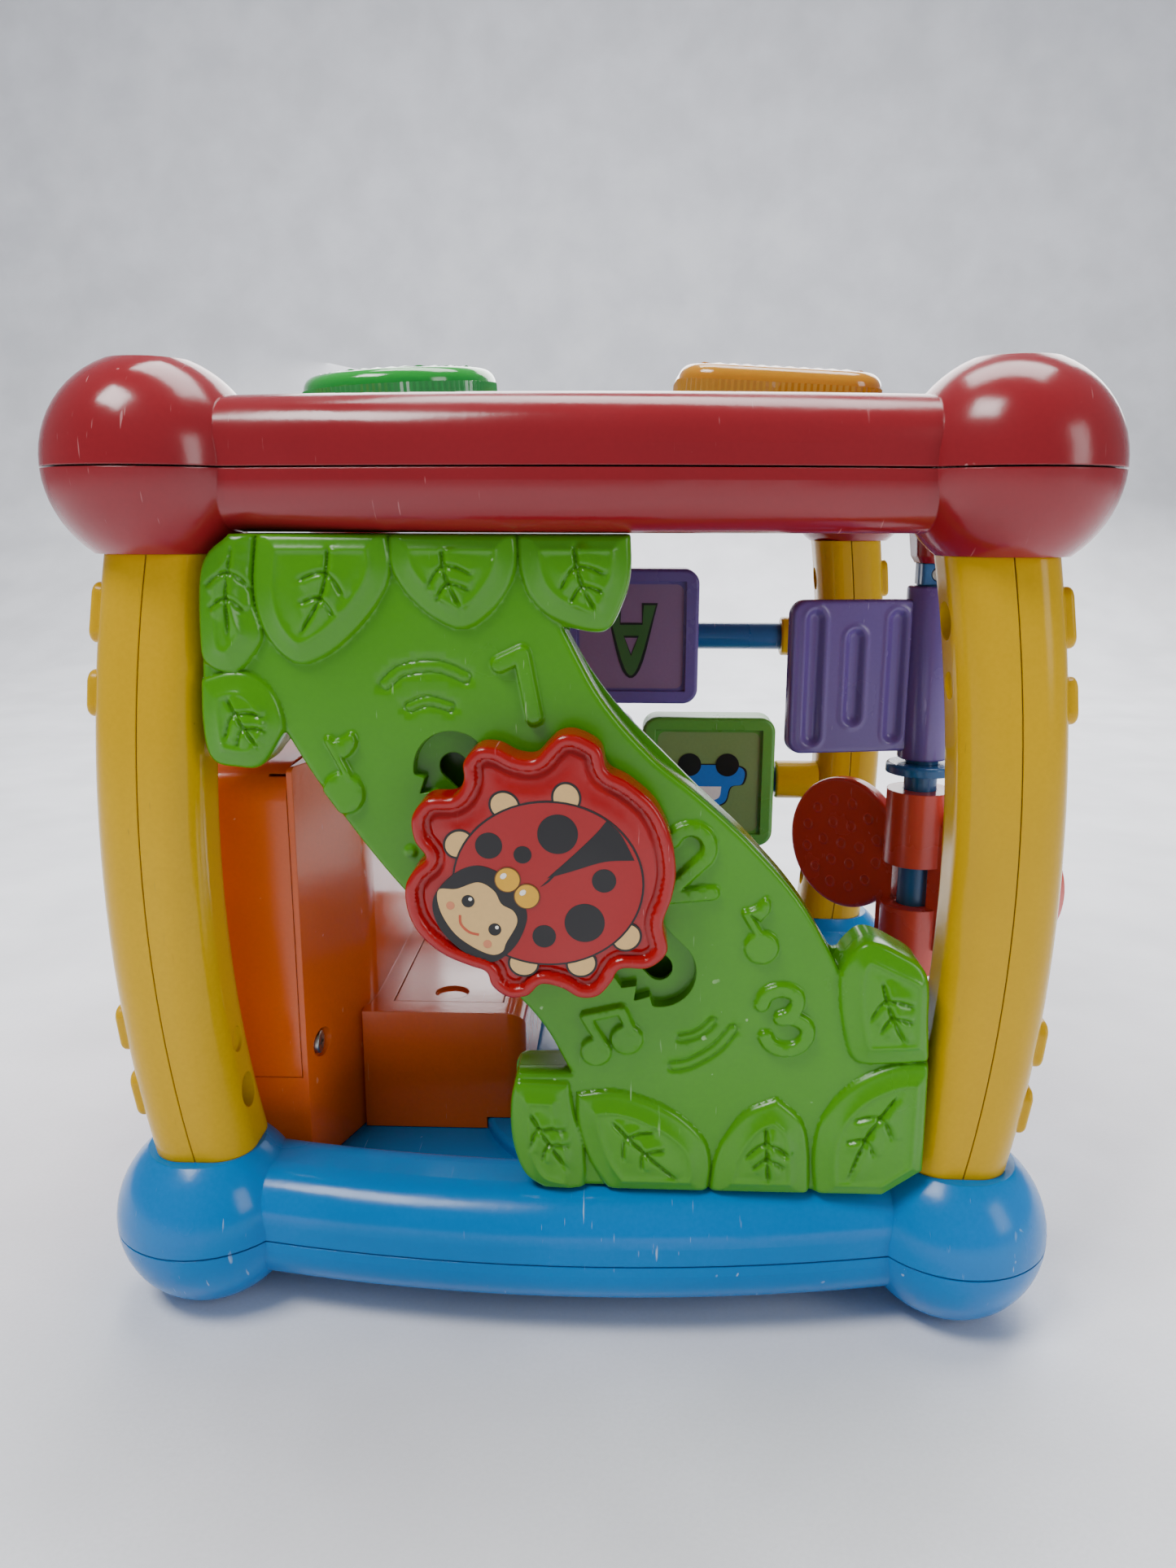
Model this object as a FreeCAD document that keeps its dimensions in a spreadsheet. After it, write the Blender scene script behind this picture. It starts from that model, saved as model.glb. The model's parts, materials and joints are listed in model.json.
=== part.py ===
"""Baby activity cube: bowed posts between a top and a base frame, with a different toy on each side.

The origin is on the floor under the middle of the cube. +Z is up and -Y is the ladybird's side.
"""
import FreeCAD
import Part
import Sketcher

import math
import os

from FreeCAD import Placement, Rotation, Vector

X_AXIS = Vector(1, 0, 0)
Y_AXIS = Vector(0, 1, 0)
Z_AXIS = Vector(0, 0, 1)
ORIGIN = Vector(0, 0, 0)
QUARTERS = (0, 90, 180, 270)

# Driving dimensions in millimetres: alias, value, meaning
DIMENSIONS = [
    ("ballSpacing", 191.0, "corner ball centres, both ways in plan"),
    ("topBallRadius", 24.3, "red corner balls"),
    ("baseBallRadius", 23.6, "blue corner balls"),
    ("baseBallZ", 22.5, "centres of the blue balls above the floor"),
    ("topBallZ", 209.4, "centres of the red balls above the floor"),
    ("topFlatZ", 231.8, "small flat on top of each red ball"),
    ("postBottomZ", 41.0, "posts start here, on the blue balls"),
    ("postTopZ", 189.9, "posts end here, under the red balls"),
    ("edgeMid", 102.7, "centre line of a bar or post at mid span, from the cube's axis"),
    ("edgeWidth", 29.4, "section of a bar or post across flats"),
    ("edgeCorner", 11.0, "corner radius of that section"),
    ("barArc", 405.0, "radius of a bar's centre line in plan"),
    ("postArc", 385.0, "radius of a post's centre line in its diagonal plane"),
    ("postMid", 99.7, "centre line of a post at mid height, from the cube's axis"),
    ("postWidth", 25.0, "width of a post's rounded square section"),
    ("postCorner", 9.0, "corner radius of a post's section"),
    ("wall", 2.4, "wall of the moulded shells"),
    ("seamDrop", 1.0, "frame seams lie this far below the ball centres"),
    ("seamGap", 0.4, "width of the frame seams"),
    ("floorZ", 22.5, "top of the blue tray floor"),
    ("stepHeight", 3.5, "height of the raised disc of the floor"),
    ("panelFront", 108.0, "front face of the green panel, from the cube's axis"),
    ("panelBack", 97.0, "back edge of the green panel, from the cube's axis"),
    ("slotWidth", 6.4, "ladybird slot"),
    ("channelWidth", 17.0, "sunk channel round the slot"),
    ("knobFront", 119.0, "ladybird's front, from the cube's axis"),
    ("knobBack", 109.6, "ladybird's back, from the cube's axis"),
    ("rodRadius", 5.2, "all three blue rods"),
    ("rodFit", 0.08, "radial running clearance on the rods"),
    ("rearRodY", 96.0, "rear rods, from the cube's axis"),
    ("upperRodZ", 153.0, "upper rear rod"),
    ("lowerRodZ", 95.3, "lower rear rod"),
    ("tileSize", 52.4, "picture tiles, square"),
    ("tileDepth", 16.0, "thickness of a tile's two halves together"),
    ("tileCorner", 6.0, "corner radius of a tile"),
    ("bossRadius", 7.6, "yellow bosses that carry the rear rods"),
    ("bossEnd", 71.0, "inner end of the bosses, from the cube's axis"),
    ("uprightX", 103.0, "upright rod, to the right of the cube's axis"),
    ("uprightY", -8.5, "upright rod, behind or in front of the cube's axis"),
    ("uprightRadius", 5.0, "upright rod"),
    ("collarRadius", 10.8, "collar of the upright rod"),
    ("domeRadius", 890.0, "sphere of the top panel"),
    ("domeTopZ", 229.0, "crown of the top panel"),
    ("buttonOffset", 48.0, "button centres from the cube's axis"),
    ("buttonProud", 8.0, "buttons stand this far above the panel"),
    ("buttonRadius", 24.8, "round green button"),
    ("buttonSquare", 49.6, "square amber button"),
    ("housingOuter", 112.0, "outer face of the orange housing"),
    ("housingSplit", 75.0, "split between its two shells"),
    ("housingTopZ", 136.0, "top of the housing"),
    ("housingHalf", 79.0, "half length of the housing along Y"),
    ("housingInner", 62.0, "inner face of the orange housing"),
    ("blockEnd", 17.0, "inner end of the battery block"),
    ("blockTopZ", 59.0, "top of the battery block"),
    ("blockHalf", 55.0, "half length of the battery block"),
    ("cellRadius", 7.1, "battery cells"),
    ("cellLength", 49.5, "battery cells"),
    ("boardThickness", 1.6, "circuit boards"),
    ("keyWidth", 24.0, "music keys"),
    ("switchTravel", 6.0, "mode switch, each way from the middle"),
    ("screwHead", 3.2, "radius of a case screw's head"),
    ("screwShank", 1.4, "radius of a case screw's shank"),
]

doc = FreeCAD.newDocument("activity_cube")
sheet = doc.addObject("Spreadsheet::Sheet", "Dimensions")
for row, (alias, value, meaning) in enumerate(DIMENSIONS, start=1):
    sheet.set("A%d" % row, alias)
    sheet.set("B%d" % row, str(value))
    sheet.set("C%d" % row, meaning)
    sheet.setAlias("B%d" % row, alias)
doc.recompute()

nodes = []


def size(alias):
    """Return a driving dimension as a plain number."""
    return float(sheet.get(alias))


BALL = size("ballSpacing") / 2
BASE_Z = size("baseBallZ")
TOP_Z = size("topBallZ")
MID_Z = (size("postBottomZ") + size("postTopZ")) / 2
EDGE = size("edgeWidth")
CORNER = size("edgeCorner")
MID = size("edgeMid")
WALL = size("wall")


# ---------------------------------------------------------------- document helpers

def bind(obj, **expressions):
    """Bind properties of an object to the sheet; double underscores stand for dots."""
    for prop, expression in expressions.items():
        obj.setExpression(prop.replace("__", "."), expression)
    return obj


def keep(obj, label):
    """Name a finished sub-part and remember it for export."""
    obj.Label = label
    nodes.append(obj)
    return obj


def feature(label, shape):
    """Add a sub-part whose shape is worked out directly."""
    obj = doc.addObject("Part::Feature", label)
    obj.Shape = shape
    return keep(obj, label)


def cylinder(name, radius, height, x, y, z, along=Z_AXIS):
    """Add a cylinder whose size and start point are expressions."""
    obj = doc.addObject("Part::Cylinder", name)
    obj.Placement = Placement(ORIGIN, Rotation(Z_AXIS, along))
    return bind(obj, Radius=radius, Height=height, Placement__Base__x=x,
                Placement__Base__y=y, Placement__Base__z=z)


def block(name, length, width, height, x, y, z):
    """Add a box from its low corner; every argument is an expression."""
    obj = doc.addObject("Part::Box", name)
    return bind(obj, Length=length, Width=width, Height=height, Placement__Base__x=x,
                Placement__Base__y=y, Placement__Base__z=z)


def fuse(name, pieces):
    """Join document objects one after another."""
    joined = pieces[0]
    for number, piece in enumerate(pieces[1:], start=1):
        step = doc.addObject("Part::Fuse", "%s_join%d" % (name, number))
        step.Base = joined
        step.Tool = piece
        joined = step
    return joined


def cut(name, base, tools):
    """Cut document objects from a base one after another."""
    rest = base
    for number, tool in enumerate(tools, start=1):
        step = doc.addObject("Part::Cut", "%s_cut%d" % (name, number))
        step.Base = rest
        step.Tool = tool
        rest = step
    return rest


def new_body(label):
    """Start a PartDesign body."""
    body = doc.addObject("PartDesign::Body", label)
    return keep(body, label)


def new_sketch(body, name, role="XY_Plane"):
    """Attach a sketch to one of the body's own origin planes."""
    sketch = body.newObject("Sketcher::SketchObject", name)
    plane = [item for item in body.Origin.OriginFeatures if item.Role == role][0]
    sketch.AttachmentSupport = (plane, [""])
    sketch.MapMode = "FlatFace"
    return sketch


def draw_circle(sketch, radius, x="0", y="0"):
    """Draw a circle whose radius and centre are expressions."""
    index = sketch.addGeometry(Part.Circle(ORIGIN, Z_AXIS, 1), False)
    for kind, args, expression in (("Radius", (index, 1.0), radius),
                                   ("DistanceX", (-1, 1, index, 3, 1.0), x),
                                   ("DistanceY", (-1, 1, index, 3, 1.0), y)):
        if expression == "0":
            point_on = {"DistanceX": -2, "DistanceY": -1}[kind]
            sketch.addConstraint(Sketcher.Constraint("PointOnObject", index, 3, point_on))
        else:
            number = sketch.addConstraint(Sketcher.Constraint(kind, *args))
            sketch.setExpression("Constraints[%d]" % number, expression)
    return index


def draw_rectangle(sketch, width, height):
    """Draw a rectangle centred on the origin whose sides are expressions."""
    corners = [Vector(-1, -1, 0), Vector(1, -1, 0), Vector(1, 1, 0), Vector(-1, 1, 0)]
    lines = [sketch.addGeometry(Part.LineSegment(corners[i], corners[(i + 1) % 4]), False)
             for i in range(4)]
    for i in range(4):
        sketch.addConstraint(Sketcher.Constraint("Coincident", lines[i], 2, lines[(i + 1) % 4], 1))
    for line, kind in zip(lines, ("Horizontal", "Vertical") * 2):
        sketch.addConstraint(Sketcher.Constraint(kind, line))
    sketch.addConstraint(Sketcher.Constraint("Symmetric", lines[0], 1, lines[1], 2, -1, 1))
    for line, expression in ((lines[0], width), (lines[1], height)):
        number = sketch.addConstraint(Sketcher.Constraint("Distance", line, 2.0))
        sketch.setExpression("Constraints[%d]" % number, expression)


def pad(body, sketch, length, name="pad"):
    """Pad a sketch by an expression."""
    step = body.newObject("PartDesign::Pad", "%s_%s" % (body.Name, name))
    step.Profile = sketch
    return bind(step, Length=length)


def pocket(body, sketch, length, name="pocket"):
    """Pocket a sketch upwards from its plane by an expression."""
    step = body.newObject("PartDesign::Pocket", "%s_%s" % (body.Name, name))
    step.Profile = sketch
    step.Reversed = True
    return bind(step, Length=length)


def round_edges(body, base, radius, chooser):
    """Fillet the edges of a feature that the chooser accepts."""
    doc.recompute()
    names = ["Edge%d" % (i + 1) for i, edge in enumerate(base.Shape.Edges) if chooser(edge)]
    step = body.newObject("PartDesign::Fillet", "%s_fillet%d" % (body.Name, len(body.Group)))
    step.Base = (base, names)
    return bind(step, Radius=radius)


def is_upright(edge):
    """Tell whether an edge runs along Z."""
    if not isinstance(edge.Curve, Part.Line):
        return False
    return abs(edge.Curve.Direction.dot(Z_AXIS)) > 0.999


def at_height(level):
    """Make a chooser of edges that lie at one Z."""
    return lambda edge: abs(edge.BoundBox.ZMin - level) < 1e-4 and abs(edge.BoundBox.ZMax - level) < 1e-4


# ---------------------------------------------------------------- geometry helpers

def rounded_edges(points):
    """Return the edges of a closed outline from (x, y, corner radius) points."""
    count = len(points)
    corners = [Vector(p[0], p[1], 0) for p in points]
    starts, ends, arcs = [], [], []
    for i in range(count):
        here, before, after = corners[i], corners[i - 1], corners[(i + 1) % count]
        to_before = (before - here).normalize()
        to_after = (after - here).normalize()
        radius = points[i][2]
        half = to_before.getAngle(to_after) / 2
        if radius == 0 or abs(half - math.pi / 2) < 1e-6:
            starts.append(here)
            ends.append(here)
            arcs.append(None)
            continue
        reach = radius / math.tan(half)
        centre = here + (to_before + to_after).normalize() * (radius / math.sin(half))
        first = here + to_before * reach
        last = here + to_after * reach
        middle = centre + (here - centre).normalize() * radius
        starts.append(first)
        ends.append(last)
        arcs.append(Part.Arc(first, middle, last).toShape())
    edges = []
    for i in range(count):
        if arcs[i] is not None:
            edges.append(arcs[i])
        following = starts[(i + 1) % count]
        if ends[i].distanceToPoint(following) > 1e-6:
            edges.append(Part.LineSegment(ends[i], following).toShape())
    return edges


def rounded_face(points):
    """Return a flat face in the XY plane from (x, y, corner radius) points."""
    return Part.Face(Part.Wire(Part.__sortEdges__(rounded_edges(points))))


def rectangle_points(width, height, radius):
    """Return the corners of a centred rectangle for rounded_face."""
    w, d = width / 2, height / 2
    return [(-w, -d, radius), (w, -d, radius), (w, d, radius), (-w, d, radius)]


def disc(radius, x=0.0, y=0.0):
    """Return a round face in the XY plane."""
    return Part.Face(Part.Wire(Part.Circle(Vector(x, y, 0), Z_AXIS, radius).toShape()))


def stand_up(face, depth):
    """Turn an XY face into the XZ plane at Y = -depth, seen from the front."""
    upright = face.copy()
    upright.rotate(ORIGIN, X_AXIS, 90)
    upright.translate(Vector(0, -depth, 0))
    return upright


def slab(low, high):
    """Return a wide box between two levels."""
    reach = 400
    return Part.makeBox(2 * reach, 2 * reach, high - low, Vector(-reach, -reach, low))


def turned(shape, angle, centre=ORIGIN, axis=Z_AXIS):
    """Return a rotated copy."""
    copy = shape.copy()
    copy.rotate(centre, axis, angle)
    return copy


def moved(shape, x=0.0, y=0.0, z=0.0):
    """Return a translated copy."""
    copy = shape.copy()
    copy.translate(Vector(x, y, z))
    return copy


def mirrored_x(shape):
    """Return a copy mirrored in the plane X = 0."""
    return shape.mirror(ORIGIN, X_AXIS)


def mirrored_y(shape):
    """Return a copy mirrored in the plane Y = 0."""
    return shape.mirror(ORIGIN, Y_AXIS)


def try_fillet(shape, radius, chooser):
    """Fillet the chosen edges and keep the plain shape if the kernel can't."""
    edges = [edge for edge in shape.Edges if chooser(edge)]
    try:
        rounded = shape.makeFillet(radius, edges)
    except Part.OCCError:
        return shape
    return rounded if rounded.isValid() and rounded.Volume > 0 else shape


SCREW_HEAD_HEIGHT = 1.8


def screw(length, head_radius, shank_radius, head_height=SCREW_HEAD_HEIGHT):
    """Return a pan-head screw along -Z, with its head's top at the origin."""
    head = Part.makeCylinder(head_radius, head_height, Vector(0, 0, -head_height))
    head = try_fillet(head, head_height * 0.4, at_height(0))
    slot_length = head_radius * 1.2
    slot_width = head_radius * 0.28
    slot_depth = head_height * 0.5
    for angle in (0, 90):
        slot = Part.makeBox(slot_length, slot_width, slot_depth,
                            Vector(-slot_length / 2, -slot_width / 2, -slot_depth))
        head = head.cut(turned(slot, angle))
    shank = Part.makeCylinder(shank_radius, length, Vector(0, 0, -head_height - length))
    return head.fuse(shank)


def pointed(shape, where, direction):
    """Place a shape built along -Z so that its +Z end faces a direction."""
    copy = shape.copy()
    copy.Placement = Placement(where, Rotation(Z_AXIS, direction))
    return copy


# ---------------------------------------------------------------- frames

def bowed_bar(level, shrink):
    """Return the front bar of a frame: its section swept round a wide arc in plan."""
    section = rounded_face(rectangle_points(EDGE - 2 * shrink, EDGE - 2 * shrink, CORNER - shrink))
    section.rotate(ORIGIN, X_AXIS, 90)
    section.rotate(ORIGIN, Z_AXIS, 90)
    section.translate(Vector(0, -MID, level))
    arc = size("barArc")
    centre = Vector(0, arc - MID, level)
    half = math.degrees(math.asin((BALL - 10.5) / arc))
    section.rotate(centre, Z_AXIS, -half)
    return section.revolve(centre, Z_AXIS, 2 * half)


def frame_ring(level, ball_radius, low, high, shrink):
    """Return a solid ring of four bars and four balls, cut flat above and below."""
    bar = bowed_bar(level, shrink)
    ball = Part.makeSphere(ball_radius - shrink, Vector(-BALL, -BALL, level))
    pieces = []
    for angle in QUARTERS:
        pieces.append(turned(bar, angle))
        pieces.append(turned(ball, angle))
    ring = pieces[0].multiFuse(pieces[1:])
    return ring.common(slab(low + shrink, high - shrink))


def frame_shells(level, ball_radius, low, high):
    """Return the upper and lower half shells of a frame, and its solid outside."""
    outside = frame_ring(level, ball_radius, low, high, 0)
    hollow = outside.cut(frame_ring(level, ball_radius, low, high, WALL))
    seam = level - size("seamDrop")
    gap = size("seamGap") / 2
    upper = hollow.common(slab(seam + gap, high + 1))
    lower = hollow.common(slab(low - 1, seam - gap))
    return upper, lower, outside


def bowed_square(half, corner_cut, radius):
    """Return an XY face: a square with sides bowed like the bars and its corners cut off."""
    arc = size("barArc")
    edges = []
    for angle in QUARTERS:
        reach = half - (arc - math.sqrt(arc * arc - corner_cut * corner_cut))
        first = Vector(-corner_cut, -reach, 0)
        last = Vector(corner_cut, -reach, 0)
        side = Part.Arc(first, Vector(0, -half, 0), last).toShape()
        corner = Part.LineSegment(last, Vector(reach, -corner_cut, 0)).toShape()
        edges += [turned(side, angle), turned(corner, angle)]
    face = Part.Face(Part.Wire(Part.__sortEdges__(edges)))
    return face.makeOffset2D(-radius).makeOffset2D(radius) if radius else face


ROD_X = size("uprightX")
ROD_Y = size("uprightY")
LUG_Z = size("postTopZ") - 4.7
FOOT_Z = size("postBottomZ") - 8.0


def rod_lug():
    """Return the tapered red lug that holds the top of the upright rod."""
    wires = []
    for level, width, depth in ((LUG_Z, 11.0, 13.0), (LUG_Z + 2, 13.0, 15.0), (LUG_Z + 13, 15.0, 18.0)):
        wire = rounded_face(rectangle_points(width, depth, 4)).OuterWire
        wires.append(moved(wire, ROD_X, ROD_Y, level))
    return Part.makeLoft(wires, True, True)


top_upper, top_lower, top_outside = frame_shells(
    TOP_Z, size("topBallRadius"), size("postTopZ"), size("topFlatZ"))
base_upper, base_lower, base_outside = frame_shells(
    BASE_Z, size("baseBallRadius"), 0, size("postBottomZ"))

SPIGOT = 4.0
LUG_SOCKET = Part.makeCylinder(SPIGOT + 0.05, 9.0, Vector(ROD_X, ROD_Y, LUG_Z))
FOOT_SOCKET = Part.makeCylinder(size("uprightRadius") + 0.05, 12.0, Vector(ROD_X, ROD_Y, FOOT_Z))

feature("top_frame_upper", top_upper)
feature("top_frame_lower", top_lower.fuse(rod_lug().cut(frame_ring(
    TOP_Z, size("topBallRadius"), size("postTopZ"), size("topFlatZ"), WALL))).cut(LUG_SOCKET))


def tray_floor():
    """Return the blue floor with its raised disc and the bosses for the base screws."""
    top = size("floorZ")
    plate = moved(bowed_square(MID - EDGE / 2 + 2.0, 70, 4), z=top - WALL).extrude(Vector(0, 0, WALL))
    step = Part.makeCylinder(42.0, size("stepHeight"), Vector(12.0, -42.0, top))
    step = try_fillet(step, 1.5, at_height(top + size("stepHeight")))
    hollow = Part.makeCylinder(39.5, size("stepHeight"), Vector(12.0, -42.0, top - WALL))
    tray = plate.fuse(step).cut(hollow)
    for x, y in BASE_SCREWS:
        tray = tray.fuse(Part.makeCylinder(4.0, top - WALL - PLATE_Z - WALL, Vector(x, y, PLATE_Z + WALL)))
        tray = tray.cut(Part.makeCylinder(size("screwShank") + 0.05, 10.5, Vector(x, y, PLATE_Z)))
    return tray


def base_plate():
    """Return the flat bottom cover that is moulded with the lower base shell."""
    plate = moved(bowed_square(MID - EDGE / 2 + 5.5, 70, 4), z=PLATE_Z).extrude(Vector(0, 0, WALL))
    for x, y in BASE_SCREWS:
        plate = plate.cut(Part.makeCylinder(size("screwHead") + 0.15, 1.8, Vector(x, y, PLATE_Z)))
        plate = plate.cut(Part.makeCylinder(size("screwShank") + 0.05, WALL, Vector(x, y, PLATE_Z)))
    return plate


def rod_foot():
    """Return the low blue socket on the right bar that holds the foot of the upright rod."""
    top = size("postBottomZ") - 1.5
    return Part.makeCone(10.5, 8.5, top - (BASE_Z + 12), Vector(ROD_X, ROD_Y, BASE_Z + 12))


PLATE_Z = BASE_Z - EDGE / 2 + 1.2
BASE_SCREWS = [(x, y) for x in (-62.0, 62.0) for y in (-62.0, 62.0)]
base_inside = frame_ring(BASE_Z, size("baseBallRadius"), 0, size("postBottomZ"), WALL)
base_seam = BASE_Z - size("seamDrop") + size("seamGap") / 2
floor_limits = base_inside.fuse(base_outside.common(slab(0, base_seam)))
feature("base_frame_upper", base_upper.fuse(tray_floor().cut(floor_limits)).fuse(
    rod_foot().cut(base_inside)).cut(FOOT_SOCKET))
feature("base_frame_lower", base_lower.fuse(base_plate().cut(base_inside)))
base_screw = pointed(screw(8.0, size("screwHead"), size("screwShank")), ORIGIN, -Z_AXIS)
feature("base_screws", Part.makeCompound([moved(base_screw, x, y, PLATE_Z) for x, y in BASE_SCREWS]))


# ---------------------------------------------------------------- posts

PADS = ((-59.5, 14.0), (-41.5, 11.0), (39.5, 12.0), (57.5, 12.5))
PAD_RISE = 2.0
PAD_WIDTH = 13.0
SCREW_STATIONS = (-61.5, 61.5)
DIMPLE_STATIONS = (-46.5, 46.5)
WELL_DEPTH = 5.0
POST_WIDTH = size("postWidth")
POST_CORNER = size("postCorner")
POST_INNER = -size("postMid") + POST_WIDTH / 2
POST_OUTER = -size("postMid") - POST_WIDTH / 2
POST_CENTRE = Vector(-size("postMid"), -size("postMid"), MID_Z)
POST_FACE = Vector(POST_INNER, POST_CENTRE.y, MID_Z)
BOW_AXIS_POINT = POST_CENTRE + Vector(1, 1, 0).normalize() * size("postArc")
BOW_AXIS = Vector(1, -1, 0).normalize()


def on_post(shape, station):
    """Carry a shape from mid height along the front left post by an arc length."""
    return turned(shape, math.degrees(station / size("postArc")), BOW_AXIS_POINT, BOW_AXIS)


def post_half(outer):
    """Return one hollow half of the front left post."""
    ring = rounded_face(rectangle_points(POST_WIDTH, POST_WIDTH, POST_CORNER)).cut(
        rounded_face(rectangle_points(POST_WIDTH - 2 * WALL, POST_WIDTH - 2 * WALL, POST_CORNER - WALL)))
    seam = 0.15
    low = -POST_WIDTH if outer else seam
    window = Part.makePlane(POST_WIDTH - seam, 2 * POST_WIDTH, Vector(low, -POST_WIDTH, 0))
    section = moved(ring.common(window), POST_CENTRE.x, POST_CENTRE.y, POST_CENTRE.z)
    half = 17.0
    section.rotate(BOW_AXIS_POINT, BOW_AXIS, -half)
    shell = section.Faces[0].revolve(BOW_AXIS_POINT, BOW_AXIS, 2 * half)
    return shell.common(slab(size("postBottomZ"), size("postTopZ")))


def post_solid():
    """Return the front left post as one solid, slightly enlarged, for trimming its neighbours."""
    section = rounded_face(rectangle_points(POST_WIDTH + 1.4, POST_WIDTH + 1.4, POST_CORNER))
    section.translate(POST_CENTRE)
    section.rotate(BOW_AXIS_POINT, BOW_AXIS, -17.0)
    return section.revolve(BOW_AXIS_POINT, BOW_AXIS, 34.0).common(
        slab(size("postBottomZ"), size("postTopZ")))


def post_pads():
    """Return the raised pads on the outer side of the front left post."""
    pads = []
    for station, length in PADS:
        face = rounded_face(rectangle_points(PAD_WIDTH, length, 3.0))
        face.rotate(ORIGIN, X_AXIS, 90)
        face.rotate(ORIGIN, Z_AXIS, 90)
        face.translate(Vector(POST_OUTER - PAD_RISE, POST_CENTRE.y, MID_Z))
        raised = face.extrude(Vector(PAD_RISE + 1.0, 0, 0))
        raised = try_fillet(raised, 1.2, lambda edge: abs(edge.BoundBox.XMax - POST_OUTER + PAD_RISE) < 1e-4)
        pads.append(on_post(raised, station))
    return pads


def screw_bosses(outer):
    """Return the bosses inside one half: wide ones round the wells, or ones that take the thread."""
    radius = 4.5 if outer else 6.0
    start = POST_WIDTH - WALL / 2 if outer else WELL_DEPTH + 4.2
    end = WELL_DEPTH + 4.4 if outer else WALL / 2
    boss = Part.makeCylinder(radius, start - end, POST_FACE - X_AXIS * start, X_AXIS)
    return [on_post(boss, station) for station in SCREW_STATIONS]


def post_screw_tool():
    """Return the cutters for the screw wells, pilot holes and dimples."""
    tools = []
    for station in SCREW_STATIONS:
        well = Part.makeCylinder(4.4, WELL_DEPTH + 2, POST_FACE - X_AXIS * WELL_DEPTH, X_AXIS)
        hole = Part.makeCylinder(1.6, 16.0, POST_FACE - X_AXIS * 14, X_AXIS)
        tools += [on_post(well, station), on_post(hole, station)]
    for station in DIMPLE_STATIONS:
        dimple = Part.makeCylinder(3.2, 3.0, POST_FACE - X_AXIS * 0.8, X_AXIS)
        tools.append(on_post(dimple, station))
    return tools


def post_screws():
    """Return the two screws of the front left post."""
    single = pointed(screw(8.0, size("screwHead"), size("screwShank")),
                     POST_FACE - X_AXIS * (WELL_DEPTH - SCREW_HEAD_HEIGHT), X_AXIS)
    return [on_post(single, station) for station in SCREW_STATIONS]


def rod_boss(level):
    """Return the yellow boss of a rear post for one rear rod, on the left side."""
    start = POST_INNER - 0.6
    boss = Part.makeCylinder(size("bossRadius"), -size("bossEnd") - start,
                             Vector(start, size("rearRodY"), level), X_AXIS)
    return try_fillet(boss, 1.0, lambda edge: abs(edge.BoundBox.XMin + size("bossEnd")) < 1e-4)


def rear_rod_bores():
    """Return the cutters for the ends of both rear rods."""
    return [Part.makeCylinder(size("rodRadius") + 0.05, 30.0,
                              Vector(-size("bossEnd") - 18.0, size("rearRodY"), level), X_AXIS)
            for level in (size("upperRodZ"), size("lowerRodZ"))]


outer_half = post_half(True)
for raised_pad in post_pads():
    outer_half = outer_half.fuse(raised_pad)
for screw_boss in screw_bosses(True):
    outer_half = outer_half.fuse(screw_boss)
inner_half = post_half(False)
for screw_boss in screw_bosses(False):
    inner_half = inner_half.fuse(screw_boss)
for tool in post_screw_tool():
    inner_half = inner_half.cut(tool)
    outer_half = outer_half.cut(tool)
outer_half = outer_half.common(slab(size("postBottomZ"), size("postTopZ")))
screws_here = post_screws()

rear_inner = mirrored_y(inner_half)
for rod_level in (size("upperRodZ"), size("lowerRodZ")):
    rear_inner = rear_inner.fuse(rod_boss(rod_level))
for tool in rear_rod_bores():
    rear_inner = rear_inner.cut(tool)

feature("post_front_left_outer", outer_half)
feature("post_front_left_inner", inner_half)
feature("post_front_right_outer", mirrored_x(outer_half))
feature("post_front_right_inner", mirrored_x(inner_half))
feature("post_rear_left_outer", mirrored_y(outer_half))
feature("post_rear_left_inner", rear_inner)
feature("post_rear_right_outer", mirrored_x(mirrored_y(outer_half)))
feature("post_rear_right_inner", mirrored_x(rear_inner))
all_screws = []
for single_screw in screws_here:
    all_screws += [single_screw, mirrored_x(single_screw), mirrored_y(single_screw),
                   mirrored_x(mirrored_y(single_screw))]
feature("post_screws", Part.makeCompound(all_screws))


# ---------------------------------------------------------------- top panel and buttons

DOME = size("domeRadius")
DOME_CENTRE = Vector(0, 0, size("domeTopZ") - DOME)
COVER_Z = 203.0
BOARD_Z = 210.5
SHEET_Z = 212.4
PANEL_HALF = MID - EDGE / 2 - 0.4
FLANGE_TOP = -WALL - 1.2
FLANGE = 1.8
FLANGE_LIP = 2.2
TOP_POSTS = [(62.0, 0), (-62.0, 0), (0, 62.0), (0, -62.0)]
BUTTONS = (("green", -1, -1), ("amber", 1, -1), ("purple", -1, 1), ("red", 1, 1))


def button_outline(name, grow=0.0):
    """Return a button's outline, grown all round."""
    if name == "green":
        return disc(size("buttonRadius") + grow)
    if name == "amber":
        side = size("buttonSquare") + 2 * grow
        return rounded_face(rectangle_points(side, side, 10 + grow))
    corners, reach, radius = (6, 27.5, 6.0) if name == "purple" else (3, 35.0, 10.0)
    reach += grow / math.cos(math.pi / corners)
    points = []
    for i in range(corners):
        angle = 2 * math.pi * i / corners + math.pi / 2
        points.append((reach * math.cos(angle), reach * math.sin(angle), radius + grow))
    return rounded_face(points)


def on_dome(shape, side_x, side_y):
    """Carry a shape built at the origin along Z to a button's place on the dome."""
    foot = Vector(side_x * size("buttonOffset"), side_y * size("buttonOffset"), 0)
    height = math.sqrt(DOME ** 2 - foot.Length ** 2) + DOME_CENTRE.z
    copy = shape.copy()
    normal = Vector(foot.x, foot.y, height - DOME_CENTRE.z)
    copy.Placement = Placement(Vector(foot.x, foot.y, height), Rotation(Z_AXIS, normal))
    return copy


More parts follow.
